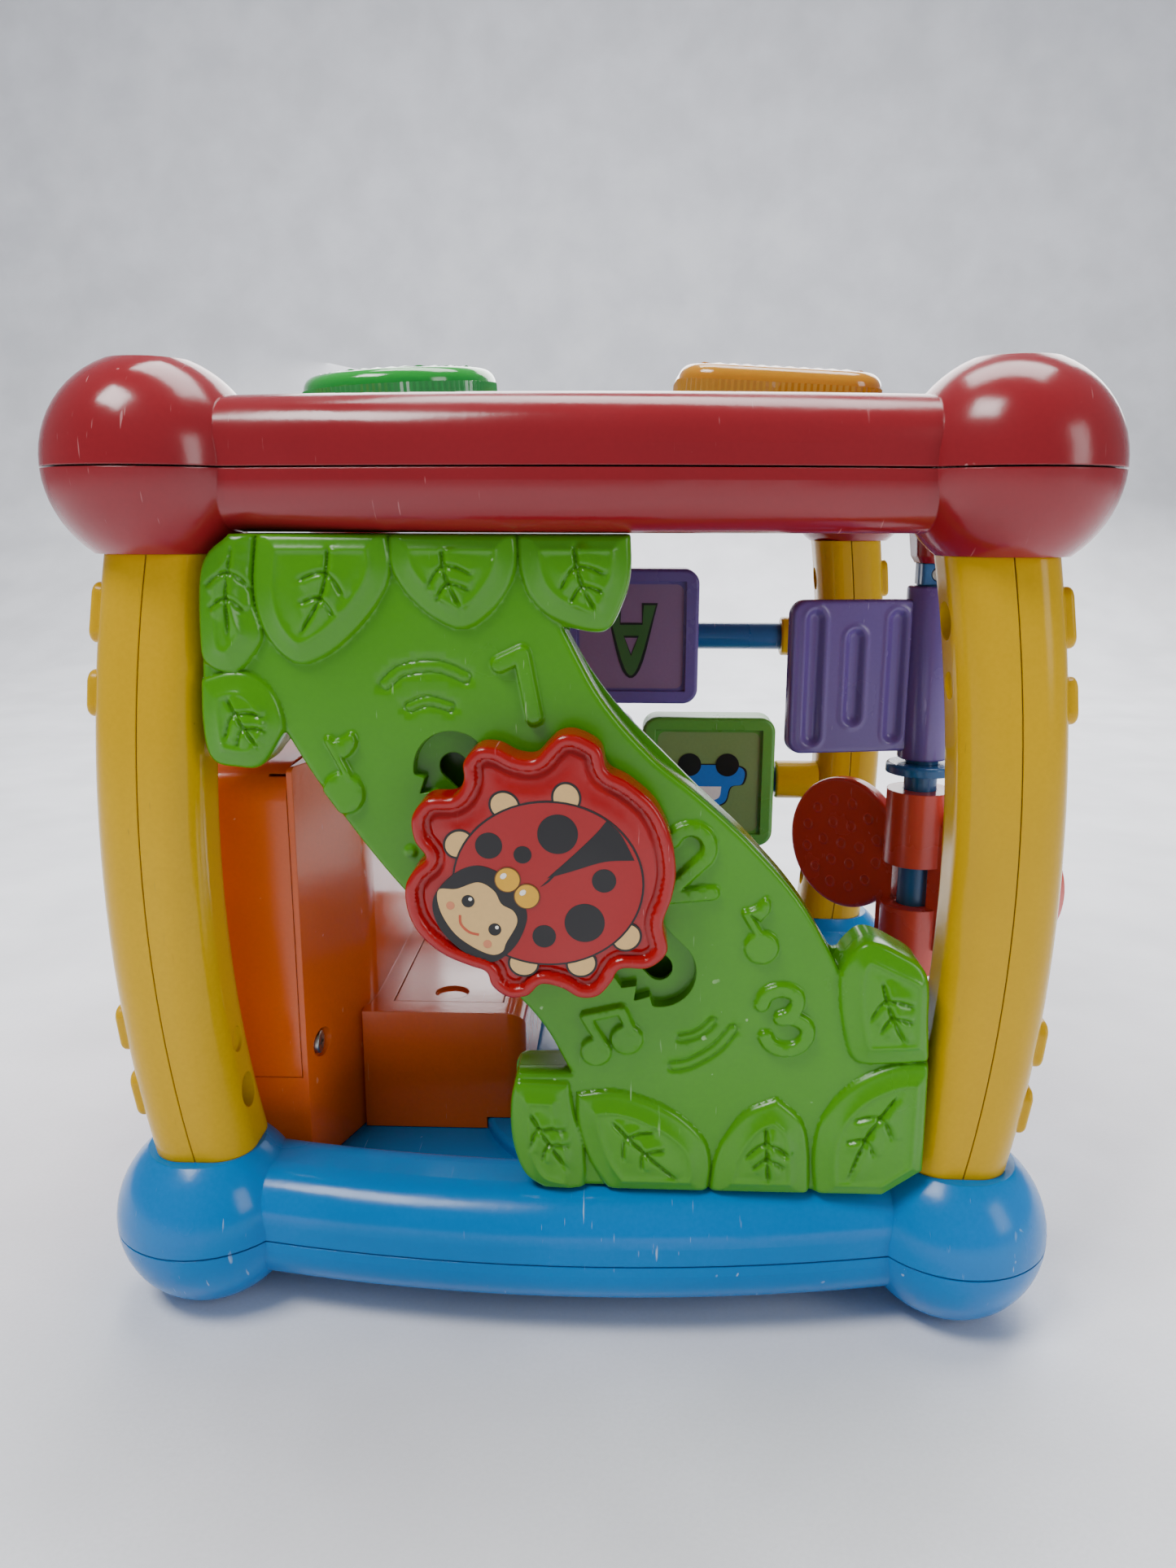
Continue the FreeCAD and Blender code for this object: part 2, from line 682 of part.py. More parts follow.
def button_cap(name):
    """Return a hollow button cap with a flange and a middle plunger."""
    top = size("buttonProud")
    cap = moved(button_outline(name), z=FLANGE_TOP - FLANGE).extrude(Vector(0, 0, top - FLANGE_TOP + FLANGE))
    cap = try_fillet(cap, 3.5, at_height(top))
    inside = moved(button_outline(name, -2.0), z=FLANGE_TOP - FLANGE)
    cap = cap.cut(inside.extrude(Vector(0, 0, top - FLANGE_TOP + FLANGE - 2.4)))
    lip = button_outline(name, FLANGE_LIP).cut(button_outline(name, -1.0))
    lip = moved(lip, z=FLANGE_TOP - FLANGE).extrude(Vector(0, 0, FLANGE))
    plunger = Part.makeCylinder(5.0, top - FLANGE_TOP + FLANGE - 1, Vector(0, 0, FLANGE_TOP - FLANGE))
    return cap.fuse(lip).fuse(plunger)


def panel_outline(half):
    """Return the top opening's outline: bowed sides, with the corner balls' rounds cut away."""
    face = bowed_square(half, half - 10, 0)
    for x in (-BALL, BALL):
        for y in (-BALL, BALL):
            face = face.cut(disc(size("topBallRadius") + 0.6, x, y))
    return face


def top_panel():
    """Return the domed purple panel with its skirt, button openings and screw columns."""
    outside = Part.makeSphere(DOME, DOME_CENTRE)
    inside = Part.makeSphere(DOME - WALL, DOME_CENTRE)
    plan = moved(panel_outline(PANEL_HALF + 2.6), z=218).extrude(Vector(0, 0, 30))
    shell = plan.common(outside).cut(inside)
    outer_wall = moved(panel_outline(PANEL_HALF), z=COVER_Z + WALL)
    inner_wall = moved(panel_outline(PANEL_HALF - WALL), z=COVER_Z + WALL)
    shell = shell.fuse(outer_wall.cut(inner_wall).extrude(Vector(0, 0, 30)).common(outside))
    for x, y in TOP_POSTS:
        column = Part.makeCylinder(4.2, 21.0, Vector(x, y, COVER_Z + WALL))
        shell = shell.fuse(column)
        shell = shell.cut(Part.makeCylinder(size("screwShank") + 0.05, 12.0, Vector(x, y, COVER_Z)))
    for name, side_x, side_y in BUTTONS:
        hole = moved(button_outline(name, 0.4), z=-7).extrude(Vector(0, 0, 14))
        shell = shell.cut(on_dome(hole, side_x, side_y))
    return shell


def with_post_holes(plate, radius=5.0):
    """Cut clearance round the four screw columns."""
    for x, y in TOP_POSTS:
        plate = plate.cut(Part.makeCylinder(radius, 60, Vector(x, y, 180)))
    return plate


def top_cover():
    """Return the red cover under the top, with pegs for the board and screw recesses."""
    plate = moved(panel_outline(PANEL_HALF), z=COVER_Z).extrude(Vector(0, 0, WALL))
    for x in (-22.0, 22.0):
        for y in (-22.0, 22.0):
            plate = plate.fuse(Part.makeCylinder(3.0, BOARD_Z - COVER_Z - WALL, Vector(x, y, COVER_Z + WALL)))
    for x, y in TOP_POSTS:
        plate = plate.cut(Part.makeCylinder(size("screwHead") + 0.15, 1.8, Vector(x, y, COVER_Z)))
        plate = plate.cut(Part.makeCylinder(size("screwShank") + 0.05, 6, Vector(x, y, COVER_Z)))
    return plate


def button_sheet():
    """Return the silicone sheet with one soft dome under each button."""
    half = 76.0
    sheet_plate = Part.makeBox(2 * half, 2 * half, 1.4, Vector(-half, -half, SHEET_Z))
    for _, side_x, side_y in BUTTONS:
        x, y = side_x * size("buttonOffset"), side_y * size("buttonOffset")
        dome = Part.makeCone(9.0, 6.0, 4.0, Vector(x, y, SHEET_Z + 1.4))
        sheet_plate = sheet_plate.fuse(dome)
        sheet_plate = sheet_plate.cut(Part.makeCylinder(6.5, 3.4, Vector(x, y, SHEET_Z)))
        lamp_place = Vector(x - 12 * side_x, y - 12 * side_y, SHEET_Z)
        sheet_plate = sheet_plate.cut(Part.makeCylinder(3.2, 4.0, lamp_place))
    return with_post_holes(sheet_plate)


def light():
    """Return one round lamp standing on the light board."""
    body = Part.makeCylinder(2.5, 3.4).fuse(Part.makeSphere(2.5, Vector(0, 0, 3.4)))
    return body.common(slab(0, 10))


feature("top_panel", top_panel())
for name, side_x, side_y in BUTTONS:
    feature("button_" + name, on_dome(button_cap(name), side_x, side_y))
feature("button_sheet", button_sheet())
board = with_post_holes(Part.makeBox(150, 150, size("boardThickness"), Vector(-75, -75, BOARD_Z)))
feature("light_board", board)
lamp_offset = size("buttonOffset") - 12
feature("lights", Part.makeCompound([
    moved(light(), sx * lamp_offset, sy * lamp_offset, BOARD_Z + size("boardThickness"))
    for _, sx, sy in BUTTONS]))
feature("top_under_cover", top_cover())
top_screw = pointed(screw(9.0, size("screwHead"), size("screwShank")), ORIGIN, -Z_AXIS)
feature("top_screws", Part.makeCompound([moved(top_screw, x, y, COVER_Z) for x, y in TOP_POSTS]))


# ---------------------------------------------------------------- green panel and ladybird

# Outline seen from the front, as (x, z, corner radius)
PANEL_OUTLINE = [
    (-75.5, 194.5, 2), (-82, 188, 3), (-84.4, 150.5, 4), (-82.5, 143.2, 3), (-71.8, 142.4, 3), (-65.7, 149.4, 1.5),
    (-57.1, 136.2, 30), (-38.5, 111.5, 60), (-10.8, 84.1, 60), (0.8, 67.5, 1), (-14.9, 67.1, 3), (-15.4, 54.0, 8),
    (-11.5, 37.5, 4), (75.5, 37.5, 3), (84.5, 44.5, 4), (82.9, 93.0, 5), (70.6, 102.8, 5), (62.0, 95.6, 1.5),
    (52.5, 111.4, 80), (40.8, 124.9, 80), (28.5, 136.3, 80), (6.2, 158.4, 80), (-2.8, 174.2, 1.5),
    (7.1, 173.8, 5), (12.3, 186, 6), (12.2, 194.5, 1)]
TRACK_TOP = Vector(-27.9, 142.3, 0)
TRACK_END = Vector(20.0, 93.9, 0)
KNOB_AT = Vector(-6.8, 120.98, 0)
FRONT = size("panelFront")
CHANNEL_DEPTH = 2.0
# Round lobes whose union is the ladybird's rim: x and z from its middle, radius
KNOB_LOBES = [
    (0.5, -2.0, 25.5), (8.3, 24.0, 7.2), (-12.6, 21.8, 6.8), (-21.8, 10.8, 7.2), (22.0, 7.0, 10.0),
    (23.0, -2.0, 7.0), (20.8, -15.4, 7.8), (9.6, -22.2, 7.4), (-6.4, -22.6, 7.4), (-19.6, -7.6, 11.6)]


def capsule(width):
    """Return a round-ended strip along the ladybird's track."""
    run = TRACK_END - TRACK_TOP
    strip = rounded_face(rectangle_points(run.Length + width, width, width / 2 - 0.001))
    strip.rotate(ORIGIN, Z_AXIS, math.degrees(math.atan2(run.y, run.x)))
    strip.translate((TRACK_TOP + TRACK_END) / 2)
    return strip


def upright_solid(face, front, back):
    """Extrude an outline drawn in x and z between two distances in front of the cube's axis."""
    return stand_up(face, front).extrude(Vector(0, front - back, 0))


def front_panel():
    """Return the hollow green panel with the sunk channel and slot."""
    outline = rounded_face(PANEL_OUTLINE)
    outside = upright_solid(outline, FRONT, size("panelBack"))
    hollow = upright_solid(outline.makeOffset2D(-WALL), FRONT - WALL, size("panelBack"))
    pan = upright_solid(capsule(size("channelWidth") + 2 * WALL), FRONT - WALL, FRONT - CHANNEL_DEPTH - WALL)
    shell = outside.cut(hollow).fuse(pan.common(outside))
    shell = shell.cut(upright_solid(capsule(size("channelWidth")), FRONT, FRONT - CHANNEL_DEPTH))
    shell = shell.cut(upright_solid(capsule(size("slotWidth")), FRONT, FRONT - 8))
    for x, z in PANEL_SCREWS:
        shell = shell.fuse(upright_solid(disc(3.6, x, z), FRONT - WALL + 0.1, size("panelBack")))
        shell = shell.cut(upright_solid(disc(size("screwShank") + 0.05, x, z), FRONT - WALL, size("panelBack")))
    return shell.cut(post_limits)


def panel_cover():
    """Return the flat cover behind the green panel."""
    plate = upright_solid(rounded_face(PANEL_OUTLINE), size("panelBack"), size("panelBack") - 2)
    for x, z in PANEL_SCREWS:
        plate = plate.cut(upright_solid(disc(size("screwShank") + 0.05, x, z), 100, 90))
    return plate.cut(post_limits)


PANEL_SCREWS = [(-74.0, 180.0), (0.0, 184.0), (-6.0, 50.0), (74.0, 50.0), (70.0, 92.0), (-50.0, 135.0)]
left_post = post_solid()
right_post = mirrored_x(left_post)
post_limits = left_post.fuse(right_post)
feature("front_panel", front_panel())
feature("front_panel_cover", panel_cover())
panel_screw = pointed(screw(7.0, size("screwHead"), size("screwShank")), ORIGIN, Y_AXIS)
feature("front_panel_screws", Part.makeCompound([
    moved(panel_screw, x, -size("panelBack") + 2 + 1.8, z) for x, z in PANEL_SCREWS]))

rim = [upright_solid(disc(r, KNOB_AT.x + x, KNOB_AT.y + z), size("knobFront"), size("knobBack"))
       for x, z, r in KNOB_LOBES]
retainer_front = FRONT - CHANNEL_DEPTH - WALL - 0.3
stem = upright_solid(disc(2.8, KNOB_AT.x, KNOB_AT.y), size("knobBack") + 1, retainer_front)
screw_core = upright_solid(disc(size("screwShank") + 0.05, KNOB_AT.x, KNOB_AT.y), 112, 100)
feature("ladybird", rim[0].multiFuse(rim[1:] + [stem]).removeSplitter().cut(screw_core))
feature("ladybird_retainer", upright_solid(
    disc(7.0, KNOB_AT.x, KNOB_AT.y), retainer_front, retainer_front - 1.8).cut(screw_core))
feature("ladybird_screw", pointed(
    screw(8.0, 2.8, size("screwShank")),
    Vector(KNOB_AT.x, -retainer_front + 1.8 + 1.8, KNOB_AT.y), Y_AXIS))


# ---------------------------------------------------------------- orange housing

OUT = size("housingOuter")
SPLIT = size("housingSplit")
INNER = size("housingInner")
HALF = size("housingHalf")
TOP = size("housingTopZ")
SILL = 50.0
BAR_TOP = BASE_Z + EDGE / 2 + 0.3
FLOOR = size("floorZ") + 0.2
KEY_Z = 83.0
KEY_HEIGHT = 46.0
KEYS = (("high", -28.0), ("middle", 0.0), ("low", 28.0))
SWITCH_Y = -59.0
SPEAKER_Y = 60.0


def chamber(x_low, x_high, y_half, z_low, z_high, radius, shrink=0.0):
    """Return a box with its outer upright edges and its top edges rounded."""
    box = Part.makeBox(x_high - x_low - 2 * shrink, 2 * (y_half - shrink), z_high - z_low - 2 * shrink,
                       Vector(x_low + shrink, -y_half + shrink, z_low + shrink))
    rounding = max(radius - shrink, 0.6)

    def outer(edge):
        box_of = edge.BoundBox
        upright_outer = is_upright(edge) and abs(box_of.XMin - x_low - shrink) < 1e-4
        return upright_outer or at_height(z_high - shrink)(edge) and box_of.XMin < x_high - shrink - 1e-3
    return try_fillet(box, rounding, outer)


def housing_outer():
    """Return the outer orange shell with its key, switch and speaker openings."""
    shell = chamber(-OUT, -SPLIT - 0.1, HALF, SILL + 0.2, TOP, 9.0)
    void = chamber(-OUT, -SPLIT - 0.1, HALF, SILL + 0.2, TOP, 9.0, WALL)
    reach = Part.makeBox(8, 2 * (HALF - WALL), TOP - SILL - 0.2 - 2 * WALL,
                         Vector(-SPLIT - 5, -HALF + WALL, SILL + 0.2 + WALL))
    shell = shell.cut(void).cut(reach)
    for _, y in KEYS:
        window = Part.makeBox(8, size("keyWidth") + 0.8, KEY_HEIGHT + 0.8,
                              Vector(-OUT - 2, y - size("keyWidth") / 2 - 0.4, KEY_Z - KEY_HEIGHT / 2 - 0.4))
        shell = shell.cut(window)
    slot = Part.makeBox(8, 5.0, 2 * size("switchTravel") + 5, Vector(
        -OUT - 2, SWITCH_Y - 2.5, KEY_Z - size("switchTravel") - 2.5))
    shell = shell.cut(slot)
    for ring, count in ((0, 1), (4.5, 6), (9.0, 12)):
        for i in range(count):
            angle = 2 * math.pi * i / count
            hole = Part.makeCylinder(1.2, 8, Vector(-OUT - 2, SPEAKER_Y + ring * math.cos(angle),
                                                    KEY_Z + ring * math.sin(angle)), X_AXIS)
            shell = shell.cut(hole)
    return shell


def front_cove(shift_x=0.0, shift_y=0.0):
    """Return the cutter that slants the front end of the inner wall back from the split line."""
    profile = rounded_face([
        (-73.4, -HALF - 9, 0), (-73.4, -HALF, 1.2), (-68.6, -65.0, 30), (-INNER, -46.0, 24), (-INNER, -38.0, 0),
        (-INNER + 12, -38.0, 0), (-INNER + 12, -HALF - 9, 0)])
    return moved(profile, shift_x, shift_y, FLOOR - 5).extrude(Vector(0, 0, TOP - FLOOR + 10))


def housing_inner():
    """Return the inner orange shell: upright wall, skirt and battery block, open where the door sits."""
    wall_solid = Part.makeBox(SPLIT - 0.1 - INNER, HALF + REAR_END, TOP - FLOOR,
                              Vector(-SPLIT + 0.1, -HALF, FLOOR))
    wall_solid = try_fillet(wall_solid, 1.5, at_height(TOP))
    skirt = Part.makeBox(OUT - 4 - INNER, 2 * HALF, SILL - BAR_TOP, Vector(-OUT + 4, -HALF, BAR_TOP))
    apron = Part.makeBox(86.0 - INNER, 2 * HALF, SILL - FLOOR, Vector(-86.0, -HALF, FLOOR))
    block_half = size("blockHalf")
    block_end = size("blockEnd")
    block_top = size("blockTopZ")
    lump = Part.makeBox(INNER - block_end + 2, 2 * block_half, block_top - FLOOR,
                        Vector(-INNER - 2, -block_half, FLOOR))
    lump = try_fillet(lump, 5.5, lambda e: e.BoundBox.XMin > -block_end - 1e-3 or (
        at_height(block_top)(e) and e.BoundBox.XMin > -INNER - 1))
    cove = front_cove()
    inner_cove = front_cove(-WALL, 0.6)
    solid = wall_solid.multiFuse([skirt, apron]).cut(cove).fuse(lump)
    voids = [
        Part.makeBox(SPLIT - INNER - WALL, HALF + REAR_END - 2 * WALL, TOP - SILL - WALL,
                     Vector(-SPLIT, -HALF + WALL, SILL)),
        Part.makeBox(OUT - 4 - WALL - INNER - WALL, 2 * (HALF - WALL), SILL - BAR_TOP - WALL,
                     Vector(-OUT + 4 + WALL, -HALF + WALL, BAR_TOP + WALL)),
        Part.makeBox(86.0 - WALL - INNER - WALL, 2 * (HALF - WALL), SILL - FLOOR - WALL,
                     Vector(-86.0 + WALL, -HALF + WALL, FLOOR + WALL)),
        Part.makeBox(INNER - block_end, 2 * (block_half - WALL), block_top - FLOOR - 2 * WALL,
                     Vector(-INNER - WALL, -block_half + WALL, FLOOR + WALL)),
        Part.makeBox(DOOR_X[1] - DOOR_X[0] + 0.6, 2 * DOOR_HALF + 0.6, 10,
                     Vector(DOOR_X[0] - 0.3, -DOOR_HALF - 0.3, block_top - 2.0)),
        Part.makeBox(DOOR_X[1] - DOOR_X[0] - 3, 2 * DOOR_HALF - 3, 10,
                     Vector(DOOR_X[0] + 1.5, -DOOR_HALF + 1.5, block_top - 5.0))]
    for void in voids[:3]:
        solid = solid.cut(void.cut(inner_cove))
    for void in voids[3:]:
        solid = solid.cut(void)
    for spot in HOUSING_SCREWS:
        solid = solid.cut(Part.makeCylinder(4.0, 6.0, spot, X_AXIS))
        solid = solid.cut(Part.makeCylinder(size("screwShank") + 0.05, 8, spot - X_AXIS * 6, X_AXIS))
    raised_disc = Part.makeCylinder(42.2, size("stepHeight") + 0.2, Vector(12.0, -42.0, size("floorZ")))
    return solid.cut(base_outside).cut(raised_disc)


def battery_door():
    """Return the door on top of the battery block, with a thumb notch and a screw hole."""
    top = size("blockTopZ")
    plate = Part.makeBox(DOOR_X[1] - DOOR_X[0], 2 * DOOR_HALF, 1.8, Vector(DOOR_X[0], -DOOR_HALF, top - 1.9))
    notch = Part.makeCylinder(5.0, 0.9, Vector(DOOR_MID, -DOOR_HALF + 7, top - 1.0))
    hole = Part.makeCylinder(size("screwShank") + 0.05, 4, Vector(DOOR_MID, DOOR_HALF - 6, top - 3))
    return plate.cut(notch).cut(hole)


def cell():
    """Return one battery cell lying along Y, with its positive cap."""
    body = Part.makeCylinder(size("cellRadius"), size("cellLength"), ORIGIN, Y_AXIS)
    cap = Part.makeCylinder(2.7, 1.2, Vector(0, size("cellLength"), 0), Y_AXIS)
    return body.fuse(cap)


def speaker():
    """Return the round loudspeaker with its frame, cone and magnet, facing -X."""
    frame_ring_solid = Part.makeCylinder(15.0, 3.0).cut(Part.makeCylinder(12.6, 2.0))
    cone = Part.makeCone(9.0, 12.5, 4.0, Vector(0, 0, -5))
    magnet = Part.makeCylinder(9.0, 5.0, Vector(0, 0, -9.5))
    basket = Part.makeCylinder(13.4, 2.0, Vector(0, 0, -1.8))
    unit = frame_ring_solid.multiFuse([cone, magnet, basket])
    return pointed(unit, Vector(-OUT + WALL + 5.0, SPEAKER_Y, KEY_Z), -X_AXIS)


REAR_END = 73.0
DOOR_X = (-56.0, -24.0)
DOOR_MID = (DOOR_X[0] + DOOR_X[1]) / 2
DOOR_HALF = 47.0
HOUSING_SCREWS = (Vector(-72.6, -72.0, 57.5), Vector(-INNER - 1.4, 66.0, 118.0))
CELLS = [(-48.6, -52.0), (-31.4, -52.0), (-40.0, 1.4)]
CELL_Z = FLOOR + WALL + 8.0

feature("housing_outer", housing_outer())
feature("housing_inner", housing_inner())
feature("battery_door", battery_door())
feature("battery_cells", Part.makeCompound([moved(cell(), x, y, CELL_Z) for x, y in CELLS]))
contact_plates = [Part.makeBox(11.0, 0.4, 12.0, Vector(x - 5.5, y, CELL_Z - 6))
                  for x, start in CELLS for y in (start - 0.5, start + size("cellLength") + 1.3)
                  if abs(y) < size("blockHalf") - WALL]
feature("battery_contacts", Part.makeCompound(contact_plates))
feature("battery_door_screw", pointed(
    screw(5.0, 2.4, size("screwShank"), 1.2),
    Vector(DOOR_MID, DOOR_HALF - 6, size("blockTopZ") - 0.1 + 1.2), Z_AXIS))
housing_screw = pointed(screw(10.0, size("screwHead"), size("screwShank"), 1.4), ORIGIN, X_AXIS)
feature("housing_screws", Part.makeCompound([
    moved(housing_screw, spot.x + 1.4, spot.y, spot.z) for spot in HOUSING_SCREWS]))
feature("main_board", Part.makeBox(
    size("boardThickness"), 108, 60, Vector(-96.0, -66, SILL + 4)))
feature("speaker", speaker())

KEY_FACE = OUT + 2.6
KEY_DEPTH = 7.2
for key_name, y in KEYS:
    key = new_body("key_" + key_name)
    outline = new_sketch(key, "key_%s_outline" % key_name)
    draw_rectangle(outline, "%g" % KEY_HEIGHT, "Dimensions.keyWidth")
    pad(key, outline, "%g" % KEY_DEPTH)
    lip_sketch = new_sketch(key, "key_%s_lip" % key_name)
    draw_rectangle(lip_sketch, "%g" % (KEY_HEIGHT + 3), "Dimensions.keyWidth + 3")
    pad(key, lip_sketch, "1.6", "lip")
    doc.recompute()
    round_edges(key, key.Tip, "1.4", at_height(KEY_DEPTH))
    key.Placement = Placement(Vector(-KEY_FACE + KEY_DEPTH, y, KEY_Z), Rotation(Z_AXIS, -X_AXIS))
strip = Part.makeBox(2.0, 84, 50, Vector(-KEY_FACE + KEY_DEPTH + 5.4, -42, KEY_Z - 25))
feature("key_strip", strip)

slider = Part.makeBox(4.6, 8.0, 9.0, Vector(-OUT + WALL + 0.3, SWITCH_Y - 4, KEY_Z - 4.5))
grip = Part.makeBox(6.4, 4.2, 4.2, Vector(-OUT - 3.4, SWITCH_Y - 2.1, KEY_Z - 2.1))
feature("mode_switch", slider.fuse(try_fillet(grip, 0.8, lambda e: e.BoundBox.XMax < -OUT - 3.3)))


# ---------------------------------------------------------------- upright rod and its pages

BORE = size("uprightRadius") + size("rodFit")
COLLAR_Z = 121.5
PAGE_TURN = 10.0
SPINNER_TURN = 132.0


def upright_rod():
    """Return the blue upright rod with its collar, end block and spigots."""
    low, top = FOOT_Z + 0.2, LUG_Z - 0.1
    rod = Part.makeCylinder(size("uprightRadius"), top - low, Vector(ROD_X, ROD_Y, low))
    collar = Part.makeCylinder(size("collarRadius"), 3.0, Vector(ROD_X, ROD_Y, COLLAR_Z))
    collar = try_fillet(collar, 1.0, at_height(COLLAR_Z + 3.0))
    head = Part.makeBox(9.4, 10.4, 6.2, Vector(ROD_X - 4.7, ROD_Y - 5.2, top - 6.2))
    head = try_fillet(head, 1.2, is_upright)
    spigot = Part.makeCylinder(SPIGOT, 8.6, Vector(ROD_X, ROD_Y, top))
    rod = rod.multiFuse([collar, head, spigot]).removeSplitter()
    screw_at = Vector(ROD_X, ROD_Y - 5.2, top - 3.1)
    return rod.cut(Part.makeCylinder(2.2, 1.2, screw_at, Y_AXIS)).cut(
        Part.makeCylinder(0.95, 8, screw_at, Y_AXIS))


def page_purple():
    """Return the purple page: sleeve and grooved plate, pointing to -X before it is turned."""
    low, high = COLLAR_Z + 4.4, 178.4
    sleeve = Part.makeCylinder(7.6, high - low, Vector(0, 0, low))
    sleeve = try_fillet(sleeve, 0.8, lambda e: at_height(low)(e) or at_height(high)(e))
    plate = rounded_face([(-44.0, 128.5, 4.3), (-4.0, 128.5, 0), (-4.0, 174.5, 0), (-44.0, 174.5, 4.3)])
    plate = stand_up(plate, 2.4).extrude(Vector(0, 4.8, 0))
    page = sleeve.fuse(plate)
    for x, height in ((-38.0, 38.0), (-26.0, 27.0), (-14.0, 38.0)):
        groove = rounded_face([(x - 2.2, 151.5 - height / 2, 2.19), (x + 2.2, 151.5 - height / 2, 2.19),
                               (x + 2.2, 151.5 + height / 2, 2.19), (x - 2.2, 151.5 + height / 2, 2.19)])
        page = page.cut(stand_up(groove, 2.4).extrude(Vector(0, 1.2, 0)))
        page = page.cut(stand_up(groove, -1.2).extrude(Vector(0, 1.2, 0)))
    page = page.cut(Part.makeCylinder(BORE, 200))
    page.rotate(ORIGIN, Z_AXIS, PAGE_TURN)
    return moved(page, ROD_X, ROD_Y)


def page_red():
    """Return the red spinner: two sleeves joined by two round leaves and a narrow web."""
    upper = Part.makeCylinder(10.0, 23.4, Vector(0, 0, 92.6))
    lower = Part.makeCylinder(10.0, 21.6, Vector(0, 0, 57.4))
    leaves = []
    for side in (-1, 1):
        leaf = stand_up(disc(22.0, side * 27.0, 93.0), 2.6).extrude(Vector(0, 5.2, 0))
        leaves.append(try_fillet(leaf, 1.5, lambda e: abs(e.BoundBox.YMax - e.BoundBox.YMin) < 1e-3))
    web = Part.makeBox(24.0, 5.2, 40.0, Vector(-12.0, -2.6, 66.0))
    spinner = upper.multiFuse([lower, web] + leaves).cut(Part.makeCylinder(BORE, 200))
    spinner = spinner.cut(Part.makeCylinder(7.0, 13.6, Vector(0, 0, 79.0)))
    spinner.rotate(ORIGIN, Z_AXIS, SPINNER_TURN)
    return moved(spinner, ROD_X, ROD_Y)


feature("upright_rod", upright_rod())
feature("upright_rod_screw", pointed(
    screw(5.0, 2.0, 0.9, 1.0), Vector(ROD_X, ROD_Y - 5.2 + 0.2, LUG_Z - 3.2), -Y_AXIS))
feature("page_purple", page_purple())
feature("page_red", page_red())


# ---------------------------------------------------------------- rear rods and tiles

for rod_name, level in (("upper", "upperRodZ"), ("lower", "lowerRodZ")):
    rod = cylinder("rear_rod_%s_bar" % rod_name, "Dimensions.rodRadius", "2 * Dimensions.bossEnd + 24",
                   "-Dimensions.bossEnd - 12", "Dimensions.rearRodY", "Dimensions." + level, X_AXIS)
    keep(rod, "rear_rod_" + rod_name)

TILES = (("a", 12.6, "upperRodZ"), ("b", -12.0, "lowerRodZ"), ("c", 43.8, "lowerRodZ"),
         ("d", -42.0, "upperRodZ"))
HALVES = (("front", -Y_AXIS), ("back", Y_AXIS))


def tile_half(label, centre, facing):
    """Build half of a picture tile: a framed plate with half of the rod's bore."""
    body = new_body(label)
    outline = new_sketch(body, label + "_outline")
    draw_rectangle(outline, "Dimensions.tileSize", "Dimensions.tileSize")
    plate = pad(body, outline, "Dimensions.tileDepth / 2")
    corners = round_edges(body, plate, "Dimensions.tileCorner", is_upright)
    doc.recompute()
    rounded = round_edges(body, corners, "1.6", at_height(size("tileDepth") / 2))
    recess = new_sketch(body, label + "_recess")
    draw_rectangle(recess, "Dimensions.tileSize - 10", "Dimensions.tileSize - 10")
    recess.AttachmentOffset = Placement(Vector(0, 0, size("tileDepth") / 2 - 1.5), Rotation())
    pocket(body, recess, "3")
    bore = new_sketch(body, label + "_bore", "YZ_Plane")
    draw_circle(bore, "Dimensions.rodRadius + Dimensions.rodFit")
    hole = body.newObject("PartDesign::Pocket", label + "_bore_pocket")
    hole.Profile = bore
    hole.Midplane = True
    bind(hole, Length="Dimensions.tileSize + 2")
    doc.recompute()
    turn = Rotation(X_AXIS, 90 if facing.y < 0 else -90)
    body.Placement = Placement(centre, turn)


for tile_name, x, level in TILES:
    for half_name, facing in HALVES:
        tile_half("tile_%s_%s" % (tile_name, half_name), Vector(x, size("rearRodY"), size(level)), facing)


# ---------------------------------------------------------------- report and export

def check_and_export():
    """Stop on any failed object, then write one file per sub-part."""
    doc.recompute()
    for obj in doc.Objects:
        if "Invalid" in obj.State or "Error" in obj.State:
            raise RuntimeError("failed object: %s %s" % (obj.Label, obj.State))
    os.makedirs("parts", exist_ok=True)
    for obj in nodes:
        shape = obj.Shape
        if shape.isNull() or not shape.isValid() or shape.Volume <= 0:
            raise RuntimeError("bad shape: %s" % obj.Label)
        shape.exportStep("parts/%s.step" % obj.Label)
        print("%-28s %9.0f mm3 %d solids" % (obj.Label, shape.Volume, len(shape.Solids)))


check_and_export()
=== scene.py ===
"""Looks of the baby activity cube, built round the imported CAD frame. Lengths are metres."""

import json
import math

import bpy
import numpy as np
from mathutils import Matrix, Vector
from mathutils.geometry import delaunay_2d_cdt


